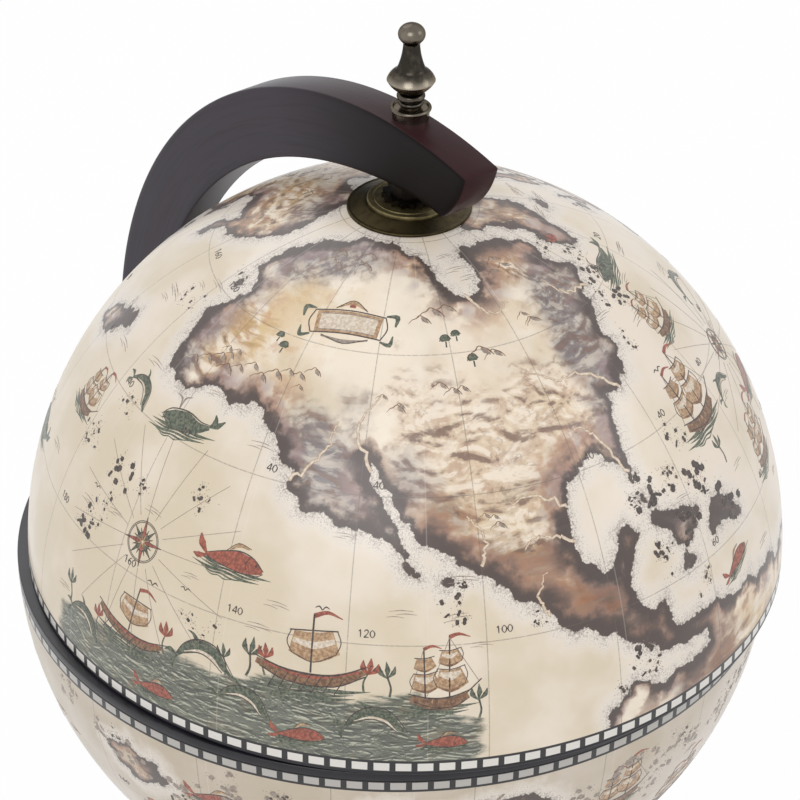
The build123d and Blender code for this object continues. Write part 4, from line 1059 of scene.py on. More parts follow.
islets = {                      # degrees east and north, spread in mm, how many; then their size and ink
    "lid": [
        (-179, 32, 9, 11), (-174, 40, 5, 5), (-167, 26, 10, 10), (-160, 33, 6, 6), (-149, 35, 7, 7),
        (-143, 17, 8, 7), (-71, 33, 5, 7), (-62, 34, 7, 10), (-56, 30, 6, 8), (-68, 24, 5, 8),
        (-62, 17.6, 6, 8), (-92, 22, 4, 5), (-103, 28, 4, 5), (-74, 9.6, 6, 8), (-80, 8, 4, 5),
        (-66, 33, 9, 9, 2.3), (-56, 31, 9, 9, 2.5), (-62, 27, 7, 7, 2.1), (-69, 26, 4, 4, 1.8),
        (-70, 36, 3, 5, 1.7), (-57, 38, 8, 7, 1.6), (-50, 24, 7, 7, 2.0), (-76, 12, 6, 8, 1.7),
        (-104, 25, 7, 7, 1.5), (-165, 32, 9, 9, 1.8), (-170, 22, 9, 9, 1.8), (-42, 57, 6, 8, 1.6),
        (-36, 62, 7, 8, 1.6), (176, 56, 6, 7), (-178, 63, 4, 6), (-44, 60, 5, 7), (-33, 66, 6, 8),
        (-50, 52, 4, 5), (-37, 70, 5, 7), (60, 6, 9, 9), (115, 10, 9, 12),
    ],
    "bowl": [
        (-64, -9, 8, 9), (-50, -8, 9, 10), (-96, -9, 8, 8), (-128, -8, 9, 9), (-143, -14, 10, 12),
        (-156, -8, 8, 8), (-74, -20, 9, 9), (-112, -9, 6, 6), (60, -12, 8, 8), (110, -12, 9, 10),
        (150, -14, 9, 10), (-15, -12, 8, 8), (175, -30, 9, 8),
        *[(-166 + 7.5 * k, -7.5 - (k * 5) % 4 - 0.5 * (k % 3), 9, 9, 2.0, "faint") for k in range(17)],
        (-143, -15, 10, 9, 1.8), (-82, -14, 11, 10, 1.9, "faint"), (-68, -15, 11, 10, 1.9, "faint"),
    ],
}
rivers = [                      # map degrees, from the mouth
    [(-62, 48), (-68, 52), (-76, 53), (-86, 57)], [(-118.5, 43.5), (-122, 49), (-118, 54)],
    [(-100, 30.5), (-99, 34), (-102, 37)], [(-84, 31), (-89, 33), (-93, 32)],
    [(-83.6, 36), (-89, 38.5), (-94, 38)], [(-90, 69), (-84, 65), (-76, 66)],
    [(-45, 62), (-54, 63), (-58, 67)], [(-70, 36.8), (-74, 44), (-78, 46)],
    [(-90, 22), (-91.6, 25), (-90, 28)], [(-19, -6), (-26, -8), (-33, -7)],
    [(-133, 40.5), (-128, 45), (-126, 49)], [(-47, -35), (-52, -28), (-51, -20)],
    [(30, 40), (35, 44), (38, 50)], [(110, 38), (104, 42), (98, 40)],
]
inkRandom = random.Random(11)


def curveThrough(points, step):  # a smooth line through a few points, in so many steps from each to the next
    points = np.array(points, float)
    padded = np.concatenate([[2 * points[0] - points[1]], points, [2 * points[-1] - points[-2]]])
    found = []
    for a, b, c, d in zip(padded, padded[1:], padded[2:], padded[3:]):
        for t in np.arange(step) / step:
            square, cube = 2 * a - 5 * b + 4 * c - d, 3 * b - a - 3 * c + d
            found.append(0.5 * (2 * b + (c - a) * t + square * t ** 2 + cube * t ** 3))
    return np.array(found + [points[-1]])


def spotOn(east, north, turn=0.0, size=1.0):  # places flat drawing points (mm) on the globe as directions
    up = onGlobe(east, north)
    right = np.array([-up[1], up[0], 0.0])
    right /= np.linalg.norm(right)
    ahead = np.cross(up, right)
    c, s = math.cos(math.radians(turn)) * size, math.sin(math.radians(turn)) * size

    def place(points):
        points = np.asarray(points, float)
        flat = up * globe["radius"] + np.outer(points @ (c, -s), right) + np.outer(points @ (s, c), ahead)
        return flat / np.linalg.norm(flat, axis=1)[:, None]

    return place


def stroke(page, ink, directions, widths, size=1.0):  # a ribbon on the globe, as wide as asked along it
    widths = np.atleast_1d(np.asarray(widths, float)) * size
    widths = np.interp(np.linspace(0, 1, len(directions)), np.linspace(0, 1, len(widths)), widths)
    kept = directions[:, 2] * page["side"] * globe["radius"] > page["edge"] + widths / 2
    if kept.sum() < 2:
        return
    directions, widths = directions[kept], widths[kept]
    side = np.cross(directions, np.gradient(directions, axis=0))
    side /= np.maximum(np.linalg.norm(side, axis=1), 1e-9)[:, None]
    shifts = (0.5, 0.0, -0.5) if widths.max() > 2 else (0.5, -0.5)
    bm = page["sheets"][ink]
    line = [bm.verts.new() for _ in directions]
    edges = [bm.edges.new(pair) for pair in zip(line, line[1:])]
    for index, shift in enumerate(shifts):
        spots = directions * globe["radius"] + side * (widths * shift)[:, None]
        for vert, spot in zip(line, spots):
            vert.co = Vector(spot).normalized() * (globe["radius"] - inkRoot) * mm
        if index < len(shifts) - 1:
            made = bmesh.ops.extrude_edge_only(bm, edges=edges)["geom"]
            fresh = set(vertsIn(made))
            line = [next(e.other_vert(v) for e in v.link_edges if e.other_vert(v) in fresh) for v in line]
            edges = [e for e in edgesIn(made) if fresh.issuperset(e.verts)]


def drawMotif(page, motif, east, north, turn, size):
    place = spotOn(east, north, turn, size)
    for ink, widths, points in motifs[motif]:
        straight = len(points) == 2
        line = np.linspace(*np.array(points, float), 5) if straight else curveThrough(points, 4)
        stroke(page, ink, place(line), widths, size)


roseShape = {                   # lengths as shares of the rose's radius
    "turn": 7.0, "rings": (0.42, 0.86, 0.93), "rhumb": (1.2, 5.4),
    "reach": (1.15, 0.62, 0.86, 0.62), "inks": ("red", "tan", "green", "tan"),  # of each fourth petal
}


def drawRose(page, east, north, radius):  # compass rose with rhumb lines
    place = spotOn(east, north, roseShape["turn"])
    for ring in roseShape["rings"]:
        turn = np.radians(np.arange(0, 361, 9))
        stroke(page, "ink", place(np.stack([np.cos(turn), np.sin(turn)], 1) * radius * ring), 0.3)
    for index in range(16):
        turn = math.radians(22.5 * index)
        way, across = np.array([math.cos(turn), math.sin(turn)]), np.array([-math.sin(turn), math.cos(turn)])
        reach = radius * roseShape["reach"][index % 4]
        wide = radius * 0.2 if index % 2 == 0 else radius * 0.1
        petal = place([way * reach * t for t in (0.08, 0.3, 0.65, 1)])
        stroke(page, roseShape["inks"][index % 4], petal, [0.1, wide, wide * 0.5, 0.05])
        for hand in (-1, 1):
            shoulder = way * reach * 0.3 + across * hand * wide * 0.5
            stroke(page, "ink", place(np.linspace(shoulder, way * reach, 4)), 0.22)
        rhumb = np.linspace(*(radius * share for share in roseShape["rhumb"]), 26)
        stroke(page, "faint", place([way * t for t in rhumb]), 0.18)


islet = {"long": (0.7, 2.3), "wide": (0.6, 1.7), "dots": 9, "dotSpread": 1.5, "dot": 0.32}  # mm


def drawIslets(page, east, north, spread, count, scale=1.0, ink="ink"):
    place = spotOn(east, north)
    for _ in range(count):
        spot = np.array([inkRandom.gauss(0, spread * 0.5), inkRandom.gauss(0, spread * 0.5)])
        long, wide = inkRandom.uniform(*islet["long"]) * scale, inkRandom.uniform(*islet["wide"]) * scale
        turn = inkRandom.uniform(0, math.pi)
        way = np.array([math.cos(turn), math.sin(turn)]) * long / 2
        outline = [spot - way, spot - way * 0.5, spot, spot + way * 0.6, spot + way]
        stroke(page, ink, place(outline), [wide * 0.4, wide, wide * 0.8, wide, wide * 0.3])
        for _ in range(islet["dots"]):
            shift = [inkRandom.gauss(0, islet["dotSpread"]), inkRandom.gauss(0, islet["dotSpread"])]
            dot = spot + np.array(shift)
            stroke(page, "faint", place([dot, dot + (0.3, 0.1)]), islet["dot"])


numbering = {
    "height": 3.0, "pitch": 0.78,  # of a digit in mm, and from digit to digit as a share of that
    "east": 2.6, "north": 1.0,  # degrees from a crossing of the net
}


def drawNumber(page, number, east, north):
    place = spotOn(east, north, 0.0, numbering["height"])
    for index, digit in enumerate(str(number)):
        aside = numbering["pitch"] * (index - len(str(number)) / 2)
        line = curveThrough(numerals[digit], 3) + (aside, 0)
        stroke(page, "ink", place(line), [0.09, 0.17, 0.09, 0.17, 0.09], numbering["height"])


def onLand(east, north, reach=0.0):  # whether a place, and those that far from it in degrees, are on land
    around = [(0, 0), (1, 0), (-1, 0), (0, 0.7), (0, -0.7)]
    spots = np.array([(east + reach * x, north + reach * y) for x, y in around])
    land = np.zeros(len(spots), bool)
    for outline in coasts.values():
        land |= insideOutline(spots[:, 0], spots[:, 1], outline)
    return land.all()


def drawNumbers(page):          # plain degrees where lines of the net cross at sea
    for east in range(-180, 180, 20):
        for north in (20, 40, 60):
            if onLand(east + 4, north * page["side"]):
                continue
            number = abs(east) if north != 40 else north
            aside = numbering["east"] / math.cos(math.radians(north))
            drawNumber(page, number, east + aside, north * page["side"] + numbering["north"])


def drawSwellsAndPeaks(page, tries):  # short swells at sea and peaks well inland
    for _ in range(tries):
        east, north = inkRandom.uniform(-180, 180), inkRandom.uniform(10, 78) * page["side"]
        if not onLand(east, north):
            drawMotif(page, "swell", east, north, inkRandom.uniform(-6, 6), inkRandom.uniform(0.6, 1.0))
            continue
        ranges = ((-4, 4), (-1.4, 1.4), (0.6, 0.95))  # degrees east and north, and size
        peaks = [[inkRandom.uniform(*limits) for limits in ranges] for _ in range(3)]
        if onLand(east, north, 6.0):
            for aside, ahead, size in peaks:
                drawMotif(page, "mountain", east + aside, north + ahead, 0, size)


def drawRiver(page, river):
    line = curveThrough(river, 9)
    spots = line + np.array([[inkRandom.gauss(0, 0.22), inkRandom.gauss(0, 0.22)] for _ in line])
    for ink, widths in (("tan", [1.5, 1.1, 0.6]), ("pale", [1.1, 0.75, 0.3])):
        stroke(page, ink, onGlobe(spots[:, 0], spots[:, 1]), widths)


def raiseSheet(bm, height):     # gives a flat sheet of ink its thickness, up to a height above the paper
    for face in bm.faces:
        face.normal_update()
        if face.normal.dot(face.calc_center_median()) < 0:
            face.normal_flip()
    raised = bmesh.ops.extrude_face_region(bm, geom=bm.faces[:])["geom"]
    for vert in vertsIn(raised):
        vert.co = vert.co.normalized() * (globe["radius"] + height) * mm
    bmesh.ops.recalc_face_normals(bm, faces=bm.faces)


def drawingInk(name, light, dark):  # paint laid on unevenly by hand
    material, tree, shader = newMaterial(name, Roughness=0.4, Coat_Weight=0.2, Coat_Roughness=0.15)
    place = millimetres(tree)
    colour = wash(dark, light, place.noise(0.8, 3.0, 0.6).fade(0.38, 0.64))
    fill(shader, Base_Color=colour, Normal=place.noise(1.6, 2.0).bump(0.01 * mm, 0.3))
    return material


def drawOn(half, centre, side):  # everything drawn on one half, a sheet for each ink; side is -1 to the south
    page = {"sheets": {ink: bmesh.new() for ink in inks}, "side": side, "edge": inkEdge[half]}
    for drawing in mapDrawings[half]:
        drawMotif(page, *drawing)
    for rose in roses[half]:
        drawRose(page, *rose)
    for group in islets[half]:
        drawIslets(page, *group)
    drawNumbers(page)
    drawSwellsAndPeaks(page, 110)
    for river in rivers:
        if river[0][1] * side >= 0:
            drawRiver(page, river)
    for ink, (light, dark, height) in inks.items():
        raiseSheet(page["sheets"][ink], height)
        moveTo(page["sheets"][ink], centre)
        name = half + ink.capitalize()
        keepPiece(page["sheets"][ink], name + "Drawing", half, drawingInk(name, light, dark))


drawOn("lid", lidCentre, 1)
drawOn("bowl", bowlCentre, -1)
print("drawings ready")


# --- finishes of the hardware, wood and lining

def stainedWood(name, centre, look, grain="turned"):
    material, tree, shader = newMaterial(
        name, Roughness=look["roughness"], Coat_Weight=look["coat"], Coat_Roughness=0.16,
        Specular_IOR_Level=look["shine"],
    )
    x, y, z = millimetres(tree, centre).split()
    if grain == "bent":         # grain follows the arm's bend
        bend = z.calc("ARCTAN2", y)
        lines = joinXyz(x, flatReach(y, z), bend * look["grainLength"])
    else:
        lines = joinXyz(x * 0.045, y, z)
    grainLines, pores = lines.noise(0.42, 5.0, 0.62, 0.8), lines.noise(2.4, 3.0, 0.7)
    colour = wash(look["dark"], look["red"], lines.noise(0.05, 3.0, 0.5, 0.6).fade(0.32, 0.68))
    if grain == "bent":         # painted shade: the arm darkens towards the poles, its side faces painted darker and the faces away from them, the outer edge among them, painted lighter and redder as if lit from above
        deep = wash(look["litPoleFace"], look["shadedPoleSide"], abs(x).fade(*look["sideFrom"]))
        colour = wash(colour, deep, abs(bend).fade(*look["poleShadeFrom"]))
    colour = wash(colour, look["line"], grainLines.fade(0.46, 0.66), look["grain"])
    colour = wash(colour, look["pore"], pores.fade(0.60, 0.72), look["grain"] * 0.6)
    fill(shader, Base_Color=colour, Normal=pores.bump(0.02 * mm, 0.4, grainLines.bump(0.05 * mm, 0.35)))
    return material


def metalFinish(name, look):    # brushed metal with darkened patches
    material, tree, shader = newMaterial(
        name, Metallic=1.0, Roughness=look["roughness"], Coat_Weight=look.get("coat", 0.0),
        Coat_Roughness=0.12, Specular_Tint=paint(*look.get("edge", (255, 255, 255))),
    )
    place = millimetres(tree)
    x, y, z = place.split()
    cloud, fine = place.noise(0.22, 4.0, 0.62), place.noise(2.2, 3.0, 0.6)
    rings = joinXyz(x * 0.06, y * 0.06, z).noise(5.0, 2.0)
    colour = wash(look["worn"], look["dark"], cloud.fade(0.34, 0.66))
    colour = wash(colour, look["deep"], fine.fade(0.52, 0.74), 0.5)
    if "wornAndHighlitBands" in look:        # bands by height of painted highlights and reflections over some worn brass: high places lighter, hollows darker
        top = look["wornAndHighlitBands"][-1][0]
        stops = [(at / top, (share * 255,) * 3) for at, share in look["wornAndHighlitBands"]]
        highlightAndWear = ((z - look["wornAndHighlitFrom"]) / top).ramp(stops)
        colour = wash(colour, look["highlightAndWear"], highlightAndWear.calc("ADD", cloud.centred(0.5), clamp=True))
    spread = look["roughSpread"]
    rough = cloud.calc("MULTIPLY_ADD", spread, look["roughness"] - spread / 2)
    surface = fine.bump(0.03 * mm, 0.25, rings.bump(0.02 * mm, look["brush"]))
    fill(shader, Base_Color=colour, Roughness=rough, Normal=surface)
    return material


def lacquer(name, look):
    material, tree, shader = newMaterial(
        name, Roughness=look["roughness"], Coat_Weight=0.15, Coat_Roughness=0.1, Specular_IOR_Level=0.35,
    )
    place = millimetres(tree)
    colour = wash(look["deep"], look["soft"], place.noise(0.06, 3.0, 0.55).fade(0.35, 0.65))
    colour = wash(colour, look["dust"], place.noise(1.6, 3.0, 0.7).fade(0.62, 0.78), 0.4)
    fill(shader, Base_Color=colour, Normal=place.noise(0.35, 2.0).bump(0.05 * mm, 0.3))
    return material


def feltCloth(name, dark, light):
    material, tree, shader = newMaterial(name, Roughness=0.95, Sheen_Weight=0.5, Sheen_Roughness=0.5)
    fibres = millimetres(tree).noise(1.6, 5.0, 0.75, 1.5)
    fill(shader, Base_Color=wash(dark, light, fibres.fade(0.35, 0.65)), Normal=fibres.bump(0.25 * mm, 0.8))
    return material


def starLining(name, centre, look):  # paper inside the halves: parchment with a star net
    material, tree, shader = newMaterial(name, Roughness=0.5, Coat_Weight=0.1, Coat_Roughness=0.3)
    place = millimetres(tree, centre)
    x, y, z = place.split()
    flat, fine = flatReach(x, y), place.noise(0.5, 5.0, 0.65)
    colour = wash(look["ground"], look["aged"], place.noise(0.02, 3.0, 0.5).fade(0.35, 0.65))
    meridians = y.calc("ARCTAN2", x).fromLines(30.0, flat * math.radians(30.0))
    parallels = z.calc("ARCTAN2", flat).fromLines(22.5, globe["inside"] * math.radians(22.5))
    for away in (meridians, parallels):
        colour = wash(colour, look["line"], away.fade(0.45, 0.15), 0.6)
    stars = newNode(tree, "TexVoronoi", {"Vector": place, "Scale": 0.055}, "Distance")
    colour = wash(colour, look["star"], (stars + fine * 0.05).fade(0.115, 0.095))
    colour = wash(colour, look["grime"], fine.fade(0.5, 0.75), 0.3)
    fill(shader, Base_Color=colour, Normal=fine.bump(0.04 * mm, 0.4))
    return material


finialSeat = 204.2              # mm above the lid's centre: the top of the arm
armLook = {
    # the two pole colours paint light and shade: darker on the side faces, lighter and redder on the faces
    # that light falls on
    "dark": (68, 64, 72), "red": (68, 62, 69), "shadedPoleSide": (17, 12, 12), "litPoleFace": (54, 31, 34),
    "line": (28, 20, 23), "pore": (18, 13, 14), "grain": 0.16, "roughness": 0.32, "coat": 0.0, "shine": 0.09,
    "grainLength": 8.0,         # a radian of the bend in the pattern's mm: less is longer
    "poleShadeFrom": (1.12, 1.64),   # radians of the bend over which the painted shade deepens
    "sideFrom": (8.1, 8.7),     # mm from the arm's middle plane to its side faces
}
baseLook = dict(armLook, dark=(40, 28, 30), red=(48, 29, 31), grain=0.3, shine=0.3, coat=0.15)
trayLook = {
    "dark": (112, 58, 36), "red": (142, 78, 48), "line": (78, 38, 24), "pore": (52, 26, 18),
    "grain": 0.7, "roughness": 0.38, "coat": 0.3, "shine": 0.5,
}
bronzeLook = {
    "worn": (84, 77, 66), "dark": (56, 51, 43), "deep": (30, 27, 23), "roughness": 0.22, "roughSpread": 0.10,
    "brush": 0.2, "coat": 0.3,
}
# the finial: base colours kept dark as painted shade in its reflections, with painted highlights and
# reflections in bands up its height, the cup's foot included, partly also worn brass
wornAndHighlitLook = dict(
    bronzeLook, worn=(46, 41, 33), dark=(37, 32, 25), deep=(24, 21, 17), highlightAndWear=(182, 171, 154), coat=0.3,
    edge=(150, 141, 132), roughness=0.27,
    wornAndHighlitFrom=lidCentre.z / mm + finialSeat,
    wornAndHighlitBands=[                    # mm above the arm, and how light the band of painted highlight and wear is there
        (0, 0.75), (3.2, 0.8), (4.4, 0.6), (5.3, 0.4), (5.7, 0.2), (6.8, 0.38), (8.0, 0.2), (9.8, 0.38),
        (11.6, 0.2), (13.0, 0.5), (14.8, 0.75), (17.5, 0.78), (19.3, 0.4), (21.3, 0.1), (31.5, 0.05),
        (33.5, 0.3), (37.0, 0.6), (41.0, 0.5),
    ],
)
discLook = {
    "worn": (76, 67, 45), "dark": (57, 49, 32), "deep": (36, 30, 20), "roughness": 0.48, "roughSpread": 0.12,
    "brush": 0.35,
}
# painted light: a lighter copy of the disc's bronze, making the plate look lit where it lies in shadow
litPlateLook = dict(discLook, worn=(128, 118, 84), dark=(100, 90, 62), deep=(58, 50, 34))
steelLook = {
    "worn": (186, 184, 178), "dark": (150, 148, 142), "deep": (110, 108, 102), "roughness": 0.32,
    "roughSpread": 0.12, "brush": 0.4,
}
blackenedLook = dict(steelLook, worn=(52, 46, 40), dark=(34, 30, 27), deep=(20, 18, 16), roughness=0.42)

armWood = stainedWood("armWood", globeCentre, armLook, "bent")
baseWood = stainedWood("baseWood", (0, 0, 0), baseLook)
trayWood = stainedWood("trayWood", (0, 0, 0), trayLook)
bronze = metalFinish("agedBronze", bronzeLook)
wornAndHighlitBronze = metalFinish("wornAndHighlitBronze", wornAndHighlitLook)
discBronze = metalFinish("discBronze", discLook)
litPlateBronze = metalFinish("litPlateBronze", litPlateLook)
zincSteel = metalFinish("zincSteel", steelLook)
blackenedSteel = metalFinish("blackenedSteel", blackenedLook)
blackLacquer = lacquer("blackLacquer", {
    "deep": (24, 22, 28), "soft": (34, 32, 39), "dust": (72, 70, 74), "roughness": 0.32,
})
blackFelt = feltCloth("blackFelt", (20, 20, 22), (44, 43, 46))
lidGlobe.data.materials.append(starLining("lidLining", lidCentre, {
    "ground": (204, 180, 140), "aged": (184, 152, 106), "line": (120, 84, 52), "star": (96, 62, 34),
    "grime": (140, 108, 70),
}))
bowlGlobe.data.materials.append(starLining("bowlLining", bowlCentre, {
    "ground": (196, 170, 130), "aged": (172, 140, 98), "line": (112, 78, 48), "star": (90, 58, 32),
    "grime": (130, 98, 62),
}))
print("finishes ready")


# --- arm

arm = {                         # mm from the globe's centre and degrees
    "inner": 173.4, "outer": 204.4, "thickness": 17.6,
    "taperStart": 25.0,         # behind the pole, where the inner edge starts to run flatter
    "taperRadius": 208.0,       # and how flat
    "noseOuter": 13.7, "noseInner": 11.1,      # past the pole, of the nose's two corners
    "noseBulge": 2.2, "noseStart": 78.0,       # from the hinge, where the nose's shape begins
    "splitGap": 0.2, "foot": 203.4, "hingeSeat": 202.2, "edge": 1.1, "steps": 96,
}


def innerEdge(behind):          # radius of the arm's inner edge, degrees behind the pole
    turn = math.radians(min(behind - arm["taperStart"], 0))
    offset = arm["taperRadius"] - arm["inner"]
    return math.sqrt(arm["taperRadius"] ** 2 - (offset * math.sin(turn)) ** 2) - offset * math.cos(turn)


def inPlane(radius, past):      # a point in the arm's plane, degrees past the pole
    return Vector((0, -radius * math.sin(math.radians(past)), radius * math.cos(math.radians(past)))) * mm


def bentBar():                  # the arm's section, swung round from the hinge to past the pole
    bm = bmesh.new()
    bmesh.ops.create_grid(bm, x_segments=2, y_segments=10, size=0.5)
    bmesh.ops.scale(bm, verts=bm.verts, vec=(arm["thickness"] * mm, (arm["outer"] - arm["inner"]) * mm, 1))
    moveTo(bm, (0, (arm["inner"] + arm["outer"]) / 2 * mm, 0))
    bmesh.ops.spin(
        bm, geom=allOf(bm), cent=(0, 0, 0), axis=(1, 0, 0), angle=math.radians(90 + arm["noseOuter"]),
        steps=arm["steps"], use_merge=False, use_duplicate=False,
    )
    return bm


def shapeArm(bm):               # tapers the bar along its inner edge, and bulges and undercuts its nose
    low = inPlane(innerEdge(-arm["noseInner"]), arm["noseInner"])
    chord = inPlane(arm["outer"], arm["noseOuter"]) - low
    outward = Vector((0, -chord.z, chord.y)).normalized()
    start, end = arm["noseStart"], 90 + arm["noseOuter"]
    for vert in bm.verts:
        radius, angle = math.hypot(vert.co.y, vert.co.z), math.degrees(math.atan2(vert.co.z, vert.co.y))
        up = (radius / mm - arm["inner"]) / (arm["outer"] - arm["inner"])
        inner = innerEdge(90 - angle)
        radius = (inner + up * (arm["outer"] - inner)) * mm
        share = (angle - start) / (end - start)
        if share > 0:
            target = low + chord * up + outward * (arm["noseBulge"] * mm * 4 * up * (1 - up))
            angle = start + share * (math.degrees(math.atan2(target.z, target.y)) - start)
            radius += share ** 3 * (math.hypot(target.y, target.z) - radius)
        turn = math.radians(angle)
        vert.co = (vert.co.x, radius * math.cos(turn), radius * math.sin(turn))


def cutFlat(bm, place, normal):  # takes off what lies past a plane, and closes the cut
    cut = bmesh.ops.bisect_plane(
        bm, geom=allOf(bm), dist=1e-6, plane_co=Vector(place) * mm, plane_no=normal, clear_outer=True,
    )
    bmesh.ops.holes_fill(bm, edges=edgesIn(cut["geom_cut"]))


def armHalf(name, body, south, replaced):
    bm = bentBar()
    shapeArm(bm)
    cutFlat(bm, (0, 0, arm["splitGap"]), (0, 0, -1))
    cutFlat(bm, (0, arm["hingeSeat"], 0), (0, 1, 0))
    if south:
        cutFlat(bm, (0, 0, arm["foot"]), (0, 0, 1))
    bmesh.ops.remove_doubles(bm, verts=bm.verts, dist=2e-6)
    bmesh.ops.recalc_face_normals(bm, faces=bm.faces)
    softenEdges(bm, arm["edge"], 3, 40)
    placeHalf(bm, globeCentre, south)
    return keepPiece(bm, name, body, armWood, replaced, sharp=50)


upperArm = armHalf("upperArm", "upper_arm", False, ["arm_upper"])
lowerArm = armHalf("lowerArm", "stand", True, ["arm_lower"])
print("arm ready")


# --- rims, discs and finial

rimShape = {"plane": 0.2, "outer": 165.0, "bore": 149.5, "ledgeBore": 141.5, "spigot": 159.7, "ledge": 12.0,
            "round": 0.45}


def rimRing(name, body, centre, flange, depth, ledge, south, replaced):
    top, low = rimShape["plane"] + flange, rimShape["plane"]
    outside = math.sqrt(rimShape["outer"] ** 2 - top ** 2)
    outline = [(math.sqrt(rimShape["spigot"] ** 2 - h ** 2), h) for h in np.linspace(top, depth, 8)]
    if ledge:
        outline += [(rimShape["ledgeBore"], depth), (rimShape["ledgeBore"], rimShape["ledge"]),
                    (rimShape["bore"], rimShape["ledge"])]
    else:
        outline += [(rimShape["bore"], depth)]
    outline += [(rimShape["bore"], low), (outside, low), (outside, top)]
    bm = latheOutline(outline, 256)
    softenEdges(bm, rimShape["round"], 3, 50)
    placeHalf(bm, centre, south)
    return keepPiece(bm, name, body, blackLacquer, replaced)


rimRing("lidRim", "lid", lidCentre, 1.6, 14.0, False, False, ["lid_rim"])
rimRing("bowlRim", "bowl", bowlCentre, 4.0, 22.0, True, True, ["bowl_rim"])

poleDisc = {                    # mm: radii from the pole's axis, and levels from the globe's centre
    "radius": 25.8, "under": 165.3, "flat": 18.5, "level": 166.3, "bore": 3.06,
    "edgeRound": 0.5, "lip": (24.6, 24.2), "lipHeight": 0.86,
    "plate": 17.5, "plateThick": 1.4, "plateRound": 0.6,
    "groove": (15.2, 15.0, 14.6, 14.4), "grooveDepth": 0.22,
}


def discOutline(d):             # stepped disc that lies on the globe
    soft, edgeLevel = d["edgeRound"], math.sqrt(d["under"] ** 2 - d["radius"] ** 2)
    outline = [(r, math.sqrt(d["under"] ** 2 - r ** 2)) for r in np.linspace(d["bore"], d["radius"], 12)]
    outline += arcOutline((d["radius"] - soft, edgeLevel + soft), soft, -60, 110, 7)
    outline += [(r, edgeLevel + d["lipHeight"]) for r in d["lip"]]
    outline += [(d["flat"] + 0.3, d["level"] - 0.05), (d["flat"] - 0.2, d["level"])]
    return outline + [(d["bore"], d["level"])]


def plateOutline(d):            # raised plate on the disc, with a turned groove
    top, soft = d["level"] + d["plateThick"], d["plateRound"]
    outline = [(d["bore"], d["level"]), (d["plate"], d["level"])]
    outline += arcOutline((d["plate"] - soft, top - soft), soft, 0, 90, 6)
    for radius, depth in zip(d["groove"], (0, d["grooveDepth"], d["grooveDepth"], 0)):
        outline.append((radius, top - depth))
    return outline + [(d["bore"], top)]


def polePieces(half, centre, south):
    disc, plate = latheOutline(discOutline(poleDisc), 192), latheOutline(plateOutline(poleDisc), 160)
    placeHalf(disc, centre, south)
    placeHalf(plate, centre, south)
    keepPiece(disc, half + "HourDisc", half, discBronze, [half + "_hour_disc"])
    keepPiece(plate, half + "HourPlate", half, litPlateBronze, [half + "_hour_plate"])


polePieces("lid", lidCentre, False)
polePieces("bowl", bowlCentre, True)

finialShape = {                 # radii and heights in mm
    "bore": 3.1, "cupFoot": 7.5, "cupRadius": 7.7, "cupHeight": 3.5, "cupWall": 0.9,
    "dishRadius": 8.45, "dishHeight": 1.8,
    "beads": (0.96, 1.6), "beadRoot": 4.2, "beadStem": 1.4, "beadGap": 0.45,
    "bulbFoot": 4.8, "bulb": 9.85, "bulbHeight": 9.25, "widestAt": 0.547, "shoulder": 6.5,
    "lowerBelly": (0.625, 0.474), "upperBelly": (0.55, 0.63),  # how far the bulb swells, and how far up
    "neck": 3.35, "neckHeight": 12.1, "neckSwell": 0.285, "swellAt": 0.45,
    "ball": 5.6, "ballHalfHeight": 4.55, "blending": 4,
}


def arcThrough(start, middle, end, count):  # points on the circle through three points of an outline
    (ax, ay), (bx, by), (cx, cy) = start, middle, end
    double = 2 * (ax * (by - cy) + bx * (cy - ay) + cx * (ay - by))
    a, b, c = ax * ax + ay * ay, bx * bx + by * by, cx * cx + cy * cy
    x = (a * (by - cy) + b * (cy - ay) + c * (ay - by)) / double
    y = (a * (cx - bx) + b * (ax - cx) + c * (bx - ax)) / double
    angles = np.unwrap([math.atan2(v - y, u - x) for u, v in (start, middle, end)])
    radius = math.hypot(ax - x, ay - y)
    along = np.linspace(angles[0], angles[2], count)
    return [(x + radius * math.cos(t), y + radius * math.sin(t)) for t in along]


def partWay(low, high, amount):  # a value part of the way from one to another
    return low + amount * (high - low)


def cupOutline(f):              # low cup with a dished collar
    half = f["dishHeight"] / 2
    outline = [(f["bore"], 0.0), (f["cupFoot"], 0.0), (f["cupRadius"], f["cupHeight"])]
    outline += arcOutline((f["dishRadius"] - half, f["cupHeight"] + half), half, -80, 110, 11)
    seat = f["cupHeight"] + half
    return outline + [(f["cupRadius"] - f["cupWall"], seat), (f["bore"], seat)]


def beadOutline(f):             # stem and beads, up to the foot of the bulb
    root, level = f["beadRoot"], f["beadStem"]
    outline = [(0.0, 0.0), (root - 0.2, 0.0), (root, 0.2)]
    for bead in f["beads"]:
        outline += arcThrough((root, level), (root + bead, level + bead), (root, level + 2 * bead), 11)
        level += 2 * bead + f["beadGap"]
    return outline + [(root, level)]


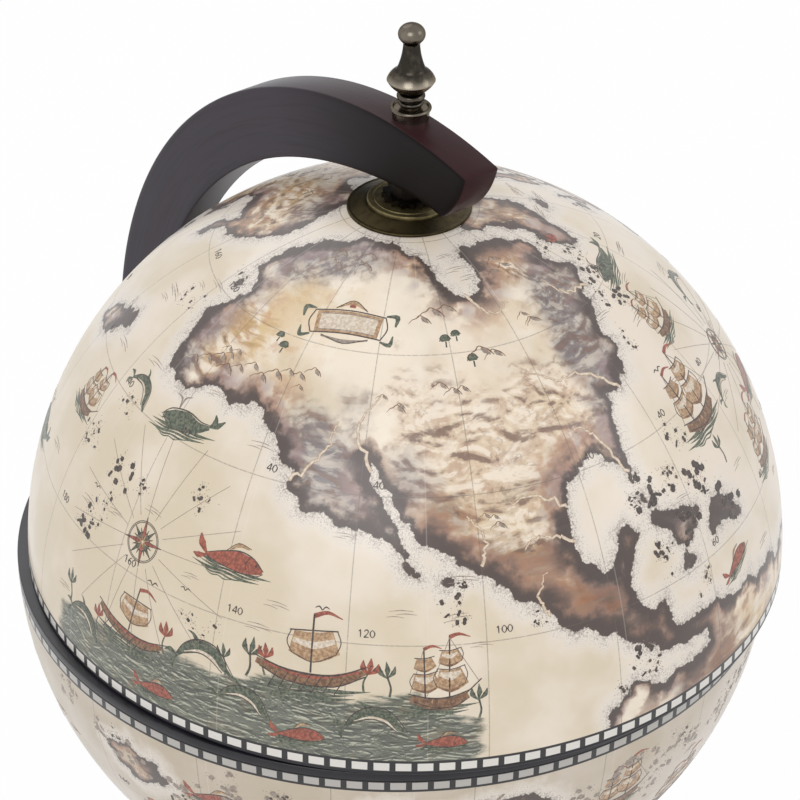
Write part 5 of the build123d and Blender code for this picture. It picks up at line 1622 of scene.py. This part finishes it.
def knobOutline(f):
    outline = beadOutline(f)
    foot = outline[-1][1]
    shoulder = foot + f["bulbHeight"]
    widest, neckTop = partWay(foot, shoulder, f["widestAt"]), shoulder + f["neckHeight"]
    meet = math.acos(f["neck"] / f["ball"])      # where the neck runs into the ball
    ball = neckTop + f["ballHalfHeight"] * math.sin(meet)
    (out, up), (outAbove, upAbove) = f["lowerBelly"], f["upperBelly"]
    lower = (partWay(f["bulbFoot"], f["bulb"], out), partWay(foot, widest, up))
    upper = (partWay(f["shoulder"], f["bulb"], outAbove), partWay(widest, shoulder, upAbove))
    swell = (partWay(f["neck"], f["shoulder"], f["neckSwell"]), partWay(shoulder, neckTop, f["swellAt"]))
    outline += arcThrough((f["bulbFoot"], foot), lower, (f["bulb"], widest), 12)
    flare = arcThrough((f["bulb"], widest), upper, (f["shoulder"], shoulder), 12)[1:]
    flare += arcThrough((f["shoulder"] - 0.5, shoulder + 0.2), swell, (f["neck"], neckTop), 26)
    for turn in np.linspace(-meet, math.pi / 2, 24)[1:]:
        flare.append((f["ball"] * math.cos(turn), ball + f["ballHalfHeight"] * math.sin(turn)))
    flare = np.array(flare)
    for _ in range(f["blending"]):  # bulb, neck and ball run into one another with hardly a crease
        flare[1:-1] = (flare[:-2] + 2 * flare[1:-1] + flare[2:]) / 4
    return outline + [tuple(point) for point in flare]


def finialPieces(f):
    knobSeat = finialSeat + f["cupHeight"] + f["dishHeight"] / 2
    cup, knob = latheOutline(cupOutline(f), 96), latheOutline(knobOutline(f), 96, closed=False)
    moveTo(cup, lidCentre + Vector((0, 0, finialSeat * mm)))
    moveTo(knob, lidCentre + Vector((0, 0, knobSeat * mm)))
    keepPiece(cup, "finialCup", "upper_arm", wornAndHighlitBronze, ["finial_cup"])
    keepPiece(knob, "finialKnob", "upper_arm", wornAndHighlitBronze, ["finial"], sharp=45)


finialPieces(finialShape)
print("rims, discs and finial ready")


# --- CAD nodes that stay, with their finishes

finishes = {
    "base_felt": blackFelt, "base_plinth": baseWood, "base_pedestal": baseWood,
    "tray_board": trayWood, "shelf_board": trayWood, "tray_posts": trayWood, "bottle_cup": trayWood,
    "hinge_leaf_lower": bronze, "hinge_leaf_upper": bronze, "hinge_screws_lower": bronze,
    "hinge_screws_upper": bronze, "bowl_hub": blackenedSteel, "lid_hub": blackenedSteel,
    "bowl_backing_plate": discBronze, "lid_backing_plate": discBronze,
    "base_screws": zincSteel, "hinge_pin": zincSteel, "bowl_bolt": zincSteel, "bowl_cap_nut": zincSteel,
    "lid_bolt": zincSteel, "lid_cap_nut": zincSteel, "tray_screws": zincSteel,
    "bowl_tooth_washer": blackenedSteel, "lid_tooth_washer": blackenedSteel,
}
for nodeName, finish in finishes.items():
    nodes[nodeName].data.materials.clear()
    nodes[nodeName].data.materials.append(finish)
